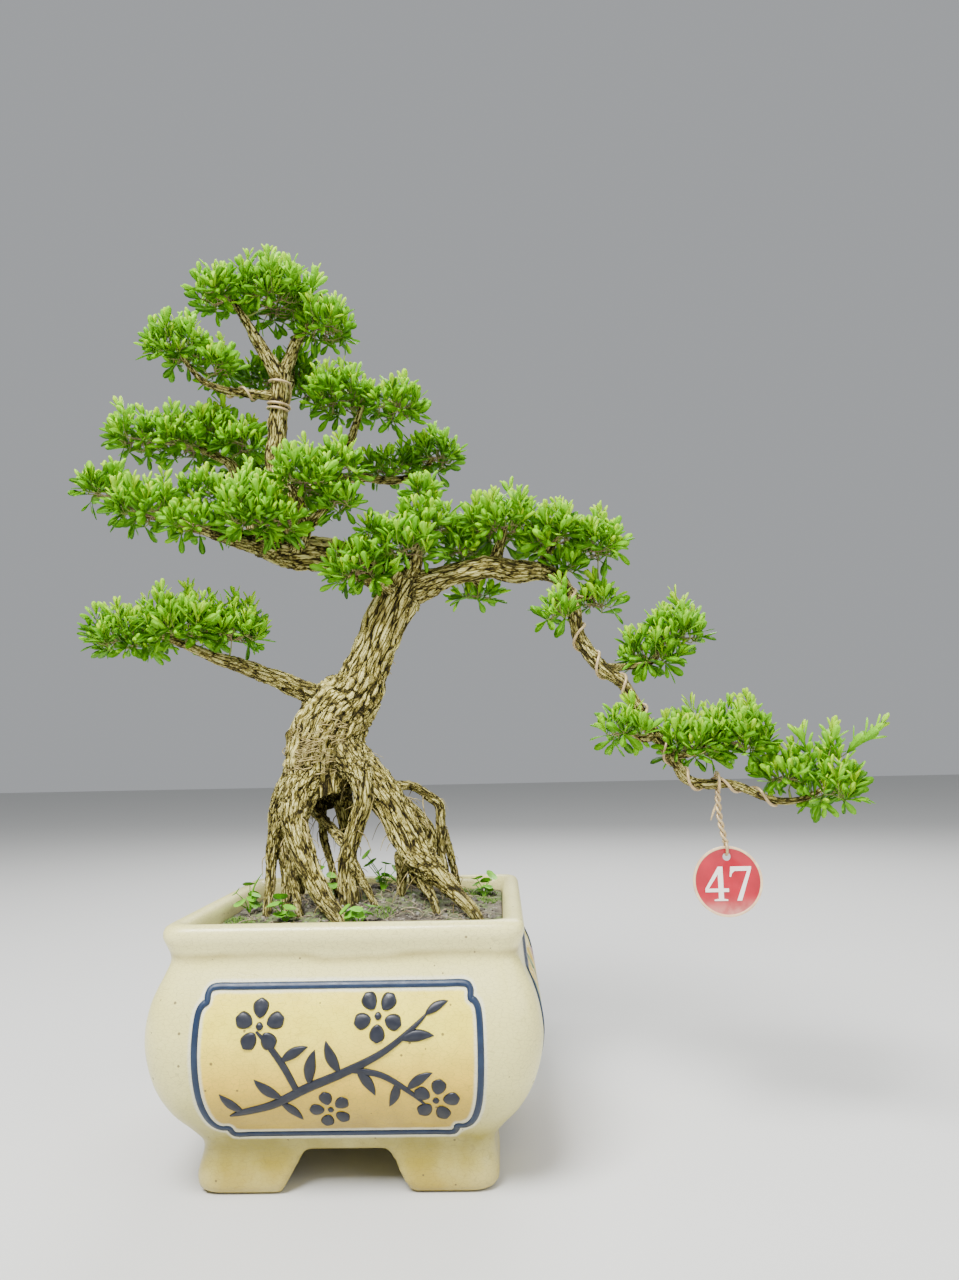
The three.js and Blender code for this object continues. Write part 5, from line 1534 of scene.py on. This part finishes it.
def weed_finish(settings):
    """Thin fresh leaves: mottled green with paler veins."""
    finish = Finish("weed_leaves", **{"Coat Weight": 0.1, "Coat Roughness": 0.4})
    tree = finish.tree
    colour = mixed(tree, finish.mottle(190, 0.25), settings.dark_colour, settings.leaf_colour)
    finish.feed("Base Color", mixed(tree, finish.varied(700, 0.2, 0.3), colour, settings.pale_colour))
    finish.feed("Roughness", finish.varied(300, 0.3, 0.2, 0.42))
    finish.bump(finish.mottle(900, 0.35), 0.2 * MM, 0.5)
    return finish.material


def grow_weed(name, weed, draw):
    """One weed: a leaf at each stem's tip, and its grass blade where it has one."""
    x, y = weed["foot"]
    foot = np.array((x, y, mound_height(x, y) - 2.0))
    stems, leaves, faces, base = [], [], [], 0
    tips = [np.array(stem, float) for stem in weed["stems"]]
    tips += [tip * (draw.uniform(0.5, 0.9), draw.uniform(0.5, 0.9), draw.uniform(0.4, 0.8))
             + (draw.uniform(-4, 4), draw.uniform(-4, 4), 0) for tip in tips * 2]
    for tip in tips:
        end = foot + tip + (0, 0, 1.2)
        bend = foot + tip * (0.35, 0.35, 0.62)
        stems.append([(*foot, 0.5), (*bend, 0.42), (*(end - (0, 0, 0.4)), 0.32)])
        lean = (-math.atan2(tip[1], 14) + draw.uniform(-0.3, 0.3),
                math.atan2(tip[0], 14) + draw.uniform(-0.3, 0.3))
        made, corners = round_leaf(end, lean, draw.uniform(4.2, 6.0), draw)
        leaves.append(made)
        faces += [[base + i for i in face] for face in corners]
        base += len(made)
    pieces = [mesh_piece(name, np.vstack(leaves), faces), tubes(name, stems, sides=6)]
    if "blade" in weed:
        reach = np.array(weed["blade"], float)
        grass = smooth_curve([(*foot, 0.7), (*(foot + reach * (0.3, 0.3, 0.6)), 0.9),
                              (*(foot + reach * (1.0, 1.0, 0.97)), 0.2)], 8)
        pieces.append(tubes(name, [grass], sides=4))
    return join_all(pieces, f"{name}_grown")


def make_weeds(settings):
    """Small round-leaved weeds on thin stems, each in place of its own node."""
    finish = weed_finish(settings)
    for seed, (name, weed) in enumerate(WEEDS.items()):
        hand_over(grow_weed(name, weed, random.Random(40 + seed)), "weed", finish, name)


# Wires and tag

def wire_finish(settings):
    """Soft copper-brown wire: anodised, dulled and scuffed."""
    finish = Finish("training_wire", **{"Metallic": 0.3})
    tree = finish.tree
    colour = mixed(tree, finish.mottle(160, 0.25), settings.dark_colour, settings.wire_colour)
    scuffs = finish.varied(900, 0.15, 0.4)
    finish.feed("Base Color", mixed(tree, scuffs, colour, settings.scuff_colour))
    finish.feed("Roughness", finish.varied(700, 0.3, 0.25, 0.32))
    finish.bump(finish.mottle(1500, 0.4), 0.08 * MM, 0.6)
    return finish.material


def wound_route(winding):
    """The wire's centre line round its limb, close on the bark."""
    steps, angles, shares = np.array(winding["way"], float).T
    step = np.linspace(0, steps[-1], round(steps[-1] * 2.5))
    places, normals, sides, radii = LIMB_ROUTES[winding["limb"]].at(np.interp(step, steps, shares))
    angle = np.radians(np.interp(step, steps, angles))
    reach = radii * 1.03 + WIRE_RADIUS + 0.1
    route = (places + normals * (np.cos(angle) * reach)[:, None]
             + sides * (np.sin(angle) * reach)[:, None])
    return round_ended(route, np.full(len(route), WIRE_RADIUS))


def ring_route(middle, radius, squash=1.0):
    """A closed ring in the plane across X, as a route that meets its own start."""
    angle = np.linspace(0, 2 * np.pi, 29)
    return np.column_stack([np.full(29, middle[0]), middle[1] + np.cos(angle) * radius * squash,
                            middle[2] + np.sin(angle) * radius, np.full(29, WIRE_RADIUS)])


def tie_routes():
    """The tag's tie: a ring on the branch, one through the tag's hole, two strands and a cut end."""
    wire_in_hole = TAG_MIDDLE[2] + TAG_HOLE_RISE + TAG_HOLE_RADIUS - WIRE_RADIUS - 0.3
    loop_top = TAG_MIDDLE[2] + TAG_RADIUS + WIRE_RADIUS + 1.2
    top = TIE_BRANCH + (0, 0, TIE_RING_RISE - TIE_RING_RADIUS + 0.4)
    bottom = np.array((TAG_MIDDLE[0], TAG_MIDDLE[1], loop_top - 0.4))
    share = np.linspace(0, 1, 46)[:, None]
    routes = [ring_route(TIE_BRANCH + (0, 0, TIE_RING_RISE), TIE_RING_RADIUS),
              ring_route((TAG_MIDDLE[0], TAG_MIDDLE[1], (loop_top + wire_in_hole) / 2),
                         (loop_top - wire_in_hole) / 2, 0.75)]
    for start in (0, math.pi):
        angle = start + 2 * np.pi * TIE_TWISTS * share
        strand = top * (1 - share) + bottom * share + np.column_stack([
            np.cos(angle) * STRAND_OFFSET - TIE_SWAY * np.sin(np.pi * share),
            np.sin(angle) * STRAND_OFFSET, np.zeros(len(share))])
        routes.append(round_ended(strand, np.full(len(strand), WIRE_RADIUS * 0.95)))
    end = top + (-6.5, -1.5, -21)
    routes.append(round_ended(np.array([top + (-1, 0, -8), (top + (-1, 0, -8) + end) / 2, end]),
                              np.full(3, WIRE_RADIUS * 0.9)))
    return routes


def make_wires(settings):
    """The training wires, and the twisted tie that carries the tag."""
    finish = wire_finish(settings)
    for name, winding in WINDINGS.items():
        piece = tubes(f"{name}_wound", [wound_route(winding)], sides=10)
        hand_over(piece, "wire", finish, name)
    hand_over(tubes("tag_tie_twisted", tie_routes(), sides=10), "wire", finish, "tag_tie")


# Numerals as outlines in a box one unit high: thin serifs and bars, thick stems
NUMERALS = {
    "4": [[(0.42, 1.0), (0.56, 1.0), (0.56, 0.36), (0.72, 0.36), (0.72, 0.26), (0.56, 0.26),
           (0.56, 0.06), (0.68, 0.04), (0.68, 0.0), (0.28, 0.0), (0.28, 0.04), (0.41, 0.06),
           (0.41, 0.26), (0.02, 0.26), (0.02, 0.36)],
          [(0.41, 0.78), (0.12, 0.36), (0.41, 0.36)]],
    "7": [[(0.06, 1.0), (0.68, 1.0), (0.68, 0.93), (0.36, 0.0), (0.22, 0.0), (0.56, 0.87),
           (0.18, 0.87), (0.10, 0.80), (0.07, 0.70), (0.03, 0.70)]],
}


def numeral(digit, left, low, height, front):
    """A raised numeral on the tag's front, cut from its outline and given its thickness."""
    outline, *holes = NUMERALS[digit]
    data = bpy.data.curves.new(f"numeral_{digit}", "CURVE")
    data.dimensions = "2D"
    data.fill_mode = "BOTH"
    data.extrude = 0.18 * MM
    for loop in (outline, *holes):
        spline = data.splines.new("POLY")
        spline.points.add(len(loop) - 1)
        for point, (x, z) in zip(spline.points, loop):
            point.co = (x * height * MM, z * height * MM, 0, 1)
        spline.use_cyclic_u = True
    piece = bpy.data.objects.new(data.name, data)
    bpy.context.collection.objects.link(piece)
    make_active(piece)
    bpy.ops.object.convert(target="MESH")
    piece = bpy.context.object
    places = places_of(piece)[:, [0, 2, 1]] * (1, -1, 1)
    move_places(piece, places + to_frame((left, front, low)))
    turn_outwards(piece)
    return piece


def tag_finish(settings):
    """Red enamel, faded low down, with a pale worn rim."""
    finish = Finish("red_enamel", **{"Coat Weight": 0.3, "Coat Roughness": 0.25})
    tree = finish.tree
    middle = to_frame(TAG_MIDDLE)
    away = add_node(tree, "ShaderNodeVectorMath", {0: finish.object, 1: tuple(middle)},
                    operation="DISTANCE").outputs["Value"]
    drop = maths(tree, "SUBTRACT", middle[2], finish.split(finish.object)["Z"])
    worn = maths(tree, "MULTIPLY", between(tree, drop, 0.008, 0.026), finish.varied(120, 0.2, 0.6, 0.3))
    colour = mixed(tree, finish.mottle(60, 0.25), settings.tag_dark, settings.tag_colour)
    colour = mixed(tree, worn, colour, settings.tag_faded)
    rim = maths(tree, "MULTIPLY", between(tree, away, 0.0230, 0.0235),
                finish.varied(200, 0.2, 0.35, 0.65))
    finish.feed("Base Color", mixed(tree, rim, colour, settings.tag_rim))
    finish.feed("Roughness", finish.varied(300, 0.3, 0.2, 0.3))
    finish.bump(finish.mottle(500, 0.4), 0.1 * MM, 0.4)
    return finish.material


def upright_disc(vertices, radius, depth, place):
    """A cylinder that faces the front, its place in its mesh."""
    start_clean()
    bpy.ops.mesh.primitive_cylinder_add(vertices=vertices, radius=radius * MM, depth=depth * MM,
                                        location=to_frame(place), rotation=(math.pi / 2, 0, 0))
    bpy.ops.object.transform_apply(location=True, rotation=True, scale=True)
    return bpy.context.object


def make_tag(settings):
    """The number tag: a bevelled disc with a raised rim, its hole and its plain number."""
    disc = upright_disc(72, TAG_RADIUS, TAG_THICKNESS, TAG_MIDDLE)
    bpy.ops.object.mode_set(mode="EDIT")
    mesh = bmesh.from_edit_mesh(disc.data)
    for face in mesh.faces:
        face.select = abs(face.normal.y) > 0.9
    bmesh.update_edit_mesh(disc.data)
    bpy.ops.mesh.inset(thickness=1.5 * MM)
    bpy.ops.mesh.inset(thickness=0.35 * MM, depth=-0.3 * MM)
    bpy.ops.object.mode_set(mode="OBJECT")
    subtract(disc, upright_disc(32, TAG_HOLE_RADIUS, 10, TAG_MIDDLE + UP * TAG_HOLE_RISE))
    apply_modifier(disc, "BEVEL", width=0.22 * MM, segments=2, limit_method="ANGLE",
                   angle_limit=math.radians(40))
    disc.name = "tag_disc_enamelled"
    hand_over(disc, "tag", tag_finish(settings), "tag_disc")
    smooth_by_angle(disc)
    front = TAG_MIDDLE[1] - TAG_THICKNESS / 2 + 0.3 - 0.16
    low = TAG_MIDDLE[2] - NUMERAL_DROP
    digits = [numeral(digit, TAG_MIDDLE[0] + left, low, NUMERAL_HEIGHT, front)
              for digit, left in zip(settings.number, NUMERAL_LEFTS)]
    white = paint_finish("white_numerals", settings.numeral_colour, settings.tag_rim, 0.4)
    smooth_by_angle(hand_over(join_all(digits, "tag_numerals"), "tag", white))


def smooth_by_angle(piece):
    """Smooth faces with sharp edges kept."""
    make_active(piece)
    bpy.ops.object.shade_smooth_by_angle(angle=math.radians(35))


# Stage

def add_lamp(name, place, size, power):
    """A square soft light that faces the tree."""
    lamp = bpy.data.lights.new(name, "AREA")
    lamp.size = size
    lamp.energy = power
    holder = bpy.data.objects.new(name, lamp)
    holder.location = place
    aim = Vector((0, 0, 0.35)) - Vector(place)
    holder.rotation_euler = aim.to_track_quat("-Z", "Y").to_euler()
    bpy.context.collection.objects.link(holder)


def add_camera(settings):
    """The camera where the photograph was taken from."""
    camera = bpy.data.cameras.new("camera")
    camera.sensor_width = 36
    camera.lens = settings.lens
    camera.clip_start = 0.01
    holder = bpy.data.objects.new("camera", camera)
    turn = (Matrix.Rotation(settings.yaw, 4, "Z") @ Matrix.Rotation(math.pi / 2 + settings.pitch, 4, "X")
            @ Matrix.Rotation(-settings.roll, 4, "Z"))
    holder.matrix_world = Matrix.Translation(to_frame(np.array(settings.camera_place) / MM)) @ turn
    bpy.context.collection.objects.link(holder)
    bpy.context.scene.camera = holder


def make_stage(settings):
    """A plain pale floor, soft light, and the camera at the photograph's angle."""
    start_clean()
    bpy.ops.mesh.primitive_plane_add(size=12, location=(0, 2.5, -0.0004))
    floor = bpy.context.object
    floor.name = "floor"
    finish = Finish("floor", **{"Roughness": 0.9})
    shade = mixed(finish.tree, finish.varied(3, 0.4, 0.05), settings.floor_colour, (0.5, 0.5, 0.5))
    finish.feed("Base Color", shade)
    floor.data.materials.append(finish.material)
    world = bpy.data.worlds.new("soft_sky")
    world.use_nodes = True
    sky = world.node_tree.nodes["Background"]
    sky.inputs["Color"].default_value = (*settings.sky_colour, 1)
    sky.inputs["Strength"].default_value = settings.sky_strength
    bpy.context.scene.world = world
    add_lamp("key", (-0.6, -1.2, 2.1), 1.0, settings.key_power)
    add_lamp("fill", (1.6, -1.0, 1.1), 1.8, settings.fill_power)
    add_lamp("rim", (0.3, 1.5, 1.7), 1.4, settings.rim_power)
    add_camera(settings)


# Settings that a user would change

def colour(name, description, default):
    return FloatVectorProperty(name=name, description=description, subtype="COLOR", size=3,
                               min=0, max=1, default=default)


def length(name, description, millimetres):
    return FloatProperty(name=name, description=description, default=millimetres * MM, unit="LENGTH")


def angle(name, description, degrees):
    return FloatProperty(name=name, description=description, default=math.radians(degrees),
                         subtype="ANGLE")


def power(name, description, watts):
    return FloatProperty(name=name, description=description, default=watts, unit="POWER")


class PotSettings(bpy.types.PropertyGroup):
    """Sizes and colours of the pot and its ornament."""
    fineness: length("Fineness", "Step of the pot's surface", 3.6)
    glaze_colour: colour("Glaze", "Body of the pot", (0.82, 0.76, 0.28))
    # Greener glaze below the belly, darkened further with painted shade where the belly turns under
    low_glaze_and_shade_colour: colour("Low glaze", "Greener glaze below the belly", (0.27, 0.225, 0.014))
    foot_colour: colour("Foot", "Thin glaze at the feet", (0.42, 0.30, 0.026))
    # Pooled glaze in the neck, darkened further with painted shade under the rim's lip
    neck_pool_and_shade_colour: colour("Neck", "Glaze that pooled in the neck", (0.46, 0.39, 0.13))
    rim_colour: colour("Rim", "Glaze on the rim", (0.88, 0.82, 0.36))
    panel_high: colour("Panel top", "Panel at its top", (1.0, 0.87, 0.10))
    panel_middle: colour("Panel middle", "Panel at the belly", (0.90, 0.61, 0.04))
    # Ochre at the panel's foot, darkened further with painted shade where the belly turns under
    panel_low_and_shade: colour("Panel bottom", "Panel at its foot", (0.34, 0.225, 0.008))
    halo_colour: colour("Halo", "Pale glaze beside the painted line", (0.80, 0.80, 0.62))
    line_colour: colour("Line", "Slate blue of the panel's line", (0.008, 0.019, 0.048))
    line_worn: colour("Thin line", "Blue line where it is thin", (0.03, 0.06, 0.12))
    ink_colour: colour("Ink", "Dark slate of the sprigs", (0.010, 0.012, 0.020))
    slate_worn: colour("Thin enamel", "Enamel where it is thin", (0.045, 0.050, 0.065))
    speckle_colour: colour("Speckles", "Iron specks and fine cracks", (0.10, 0.07, 0.03))
    red_colour: colour("Red", "Red flowers on the sides", (0.50, 0.03, 0.03))
    yellow_colour: colour("Yellow", "Yellow flowers on the sides", (0.72, 0.50, 0.08))
    mauve_colour: colour("Mauve", "Mauve flowers on the sides", (0.34, 0.14, 0.20))
    leaf_paint: colour("Leaf paint", "Painted leaves on the sides", (0.10, 0.20, 0.08))


class SoilSettings(bpy.types.PropertyGroup):
    """Colours of the soil and what lies on it."""
    earth_colour: colour("Earth", "Dry earth", (0.16, 0.135, 0.10))
    dark_colour: colour("Damp earth", "Earth in hollows", (0.035, 0.03, 0.024))
    pale_colour: colour("Pale grit", "Small stones", (0.36, 0.34, 0.28))
    moss_colour: colour("Moss", "Tips of the moss", (0.16, 0.30, 0.03))
    moss_dark: colour("Moss inside", "Moss between its tips", (0.04, 0.09, 0.012))
    straw_colour: colour("Dead roots", "Pale dead roots", (0.50, 0.42, 0.27))
    straw_dark: colour("Old dead roots", "Older dead roots", (0.16, 0.11, 0.06))


class WoodSettings(bpy.types.PropertyGroup):
    """Size of the bark's pattern and its colours."""
    foot_fineness: length("Fineness of the foot", "Step of the trunk's and the roots' surface", 1.2)
    crown_fineness: length("Fineness of the crown", "Step of the branches' surface", 1.35)
    relief: length("Relief", "Deepest fissure in the bark", 2.9)
    plate: length("Plate", "Width of a corky plate on the trunk", 4.2)
    # Fissures and flanks carry painted shade and the ridges a painted highlight, over the bark's own dark
    # and pale
    crevice_shade_colour: colour("Fissures", "Bottom of the fissures", (0.010, 0.007, 0.002))
    shaded_flank_colour: colour("Flanks", "Sides of the plates", (0.11, 0.085, 0.016))
    plate_colour: colour("Plates", "Face of the plates", (0.47, 0.40, 0.09))
    edge_colour: colour("Ridges", "Highest corky ridges", (0.98, 0.90, 0.36))
    grey_colour: colour("Weathered", "Greyer, older bark", (0.62, 0.58, 0.50))
    straw_colour: colour("Straw", "Yellower bark", (0.58, 0.49, 0.17))
    damp_colour: colour("Damp", "Bark near the soil", (0.12, 0.10, 0.04))
    rootlet_colour: colour("Rootlets", "Fine dead rootlets", (0.52, 0.42, 0.18))


class FoliageSettings(bpy.types.PropertyGroup):
    """Leaf size, how many shoots there are, and leaf colours."""
    leaf_length: length("Leaf length", "Length of a full leaf", 16.2)
    leaf_slimness: FloatProperty(name="Leaf slimness", description="Leaf width over its length",
                                 default=0.34, min=0.1, max=1)
    shoot_gap: length("Shoot gap", "Space between two shoots of a pad", 12.6)
    pair_gap: length("Pair gap", "Space between two pairs of leaves", 6.2)
    skirt_share: FloatProperty(name="Low shoots", description="Share of low shoots under a pad",
                               default=0.4, min=0, max=1)
    old_colour: colour("Old leaf", "Oldest, inner leaves", (0.03, 0.14, 0.003))
    mid_colour: colour("Grown leaf", "Full-grown leaves", (0.17, 0.50, 0.002))
    leaf_colour: colour("Leaf", "Most of the leaves", (0.38, 0.82, 0.002))
    new_colour: colour("New leaf", "Leaves at the shoot tips", (0.64, 0.94, 0.002))
    rib_colour: colour("Rib", "Rib of a leaf", (0.45, 0.72, 0.06))
    under_colour: colour("Underside", "Underside of a leaf", (0.26, 0.66, 0.06))
    twig_colour: colour("Twigs", "Thin stems", (0.34, 0.25, 0.12))
    twig_dark: colour("Old twigs", "Older stems", (0.12, 0.08, 0.04))
    green_stem: colour("Green stems", "Stems of new shoots", (0.22, 0.34, 0.04))


class WeedSettings(bpy.types.PropertyGroup):
    """Colours of the weeds."""
    leaf_colour: colour("Leaf", "Fresh leaves", (0.16, 0.50, 0.004))
    dark_colour: colour("Dark leaf", "Older leaves", (0.06, 0.26, 0.006))
    pale_colour: colour("Pale leaf", "Veins and new leaves", (0.30, 0.56, 0.03))


class WireSettings(bpy.types.PropertyGroup):
    """Colours of the wires."""
    wire_colour: colour("Wire", "Copper-brown wire", (0.56, 0.41, 0.19))
    dark_colour: colour("Tarnish", "Tarnished wire", (0.34, 0.23, 0.10))
    scuff_colour: colour("Scuffs", "Scuffed wire", (0.72, 0.58, 0.36))


class TagSettings(bpy.types.PropertyGroup):
    """Number and colours of the tag."""
    number: StringProperty(name="Number", description="Plain number on the tag", default="47")
    tag_colour: colour("Red", "Enamel of the tag", (0.50, 0.004, 0.024))
    tag_dark: colour("Dark red", "Thicker enamel", (0.34, 0.003, 0.016))
    tag_faded: colour("Faded", "Worn enamel low on the tag", (0.62, 0.30, 0.24))
    tag_rim: colour("Rim", "Pale worn rim", (0.82, 0.64, 0.36))
    numeral_colour: colour("Numerals", "White numerals", (0.92, 0.90, 0.86))


class StageSettings(bpy.types.PropertyGroup):
    """Camera, light and floor."""
    camera_place: FloatVectorProperty(name="Camera", description="Camera from the pot's middle",
                                      default=(0.108, -0.728, 0.284), unit="LENGTH")
    lens: FloatProperty(name="Lens", description="Focal length", default=25.2, unit="CAMERA")
    yaw: angle("Yaw", "Camera turned left", 1.17)
    pitch: angle("Pitch", "Camera tipped up", 7.35)
    roll: angle("Roll", "Camera leaning", 1.15)
    key_power: power("Key", "Main soft light", 150)
    fill_power: power("Fill", "Soft light from the right", 30)
    rim_power: power("Back", "Soft light from behind", 40)
    sky_colour: colour("Sky", "Colour of the light all round", (0.93, 0.96, 1.0))
    sky_strength: FloatProperty(name="Sky strength", description="Light all round", default=0.42)
    floor_colour: colour("Floor", "Plain pale floor", (0.62, 0.62, 0.60))


# Operators

class BONSAI_OT_pot(bpy.types.Operator):
    """Builds the glazed pot"""
    bl_idname = "bonsai.pot"
    bl_label = "Pot"

    def execute(self, context):
        make_pot(context.scene.bonsai_pot)
        return {"FINISHED"}


class BONSAI_OT_relief(bpy.types.Operator):
    """Builds the raised line, the sprigs and the painted flowers on the pot"""
    bl_idname = "bonsai.relief"
    bl_label = "Pot relief"

    def execute(self, context):
        make_relief(context.scene.bonsai_pot)
        return {"FINISHED"}


class BONSAI_OT_soil(bpy.types.Operator):
    """Fills the pot with soil"""
    bl_idname = "bonsai.soil"
    bl_label = "Soil"

    def execute(self, context):
        make_soil(context.scene.bonsai_soil)
        return {"FINISHED"}


class BONSAI_OT_litter(bpy.types.Operator):
    """Scatters crumbs, dead roots and moss on the soil"""
    bl_idname = "bonsai.litter"
    bl_label = "Litter and moss"

    def execute(self, context):
        make_litter(context.scene.bonsai_soil)
        return {"FINISHED"}


class BONSAI_OT_wood(bpy.types.Operator):
    """Grows the trunk, the roots and the branches and carves their bark"""
    bl_idname = "bonsai.wood"
    bl_label = "Wood"

    def execute(self, context):
        make_wood(context.scene.bonsai_wood)
        return {"FINISHED"}


class BONSAI_OT_foliage(bpy.types.Operator):
    """Grows the leaf pads and their twigs"""
    bl_idname = "bonsai.foliage"
    bl_label = "Foliage"

    def execute(self, context):
        make_foliage(context.scene.bonsai_foliage)
        return {"FINISHED"}


class BONSAI_OT_weeds(bpy.types.Operator):
    """Grows the weeds among the roots"""
    bl_idname = "bonsai.weeds"
    bl_label = "Weeds"

    def execute(self, context):
        make_weeds(context.scene.bonsai_weeds)
        return {"FINISHED"}


class BONSAI_OT_wires(bpy.types.Operator):
    """Winds the training wires and twists the tag's tie"""
    bl_idname = "bonsai.wires"
    bl_label = "Wires"

    def execute(self, context):
        make_wires(context.scene.bonsai_wires)
        return {"FINISHED"}


class BONSAI_OT_tag(bpy.types.Operator):
    """Makes the red number tag"""
    bl_idname = "bonsai.tag"
    bl_label = "Tag"

    def execute(self, context):
        make_tag(context.scene.bonsai_tag)
        return {"FINISHED"}


class BONSAI_OT_stage(bpy.types.Operator):
    """Sets the floor, the lights and the camera"""
    bl_idname = "bonsai.stage"
    bl_label = "Stage"

    def execute(self, context):
        make_stage(context.scene.bonsai_stage)
        return {"FINISHED"}


STEPS = (BONSAI_OT_stage, BONSAI_OT_pot, BONSAI_OT_relief, BONSAI_OT_soil, BONSAI_OT_litter,
         BONSAI_OT_wood, BONSAI_OT_foliage, BONSAI_OT_weeds, BONSAI_OT_wires, BONSAI_OT_tag)


class BONSAI_PT_panel(bpy.types.Panel):
    """Lists the steps of the bonsai in the sidebar"""
    bl_label = "Bonsai"
    bl_idname = "BONSAI_PT_panel"
    bl_space_type = "VIEW_3D"
    bl_region_type = "UI"
    bl_category = "Bonsai"

    def draw(self, context):
        for step in STEPS:
            self.layout.operator(step.bl_idname)


GROUPS = {
    "bonsai_pot": PotSettings,
    "bonsai_soil": SoilSettings,
    "bonsai_wood": WoodSettings,
    "bonsai_foliage": FoliageSettings,
    "bonsai_weeds": WeedSettings,
    "bonsai_wires": WireSettings,
    "bonsai_tag": TagSettings,
    "bonsai_stage": StageSettings,
}


def register():
    for item in (*GROUPS.values(), *STEPS, BONSAI_PT_panel):
        bpy.utils.register_class(item)
    for name, group in GROUPS.items():
        setattr(bpy.types.Scene, name, PointerProperty(type=group))


def unregister():
    for name in GROUPS:
        delattr(bpy.types.Scene, name)
    for item in (BONSAI_PT_panel, *reversed(STEPS), *reversed(GROUPS.values())):
        bpy.utils.unregister_class(item)


def main():
    """Registers the add-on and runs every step."""
    register()
    for step in STEPS:
        space, name = step.bl_idname.split(".")
        getattr(getattr(bpy.ops, space), name)()


if __name__ == "__main__":
    main()
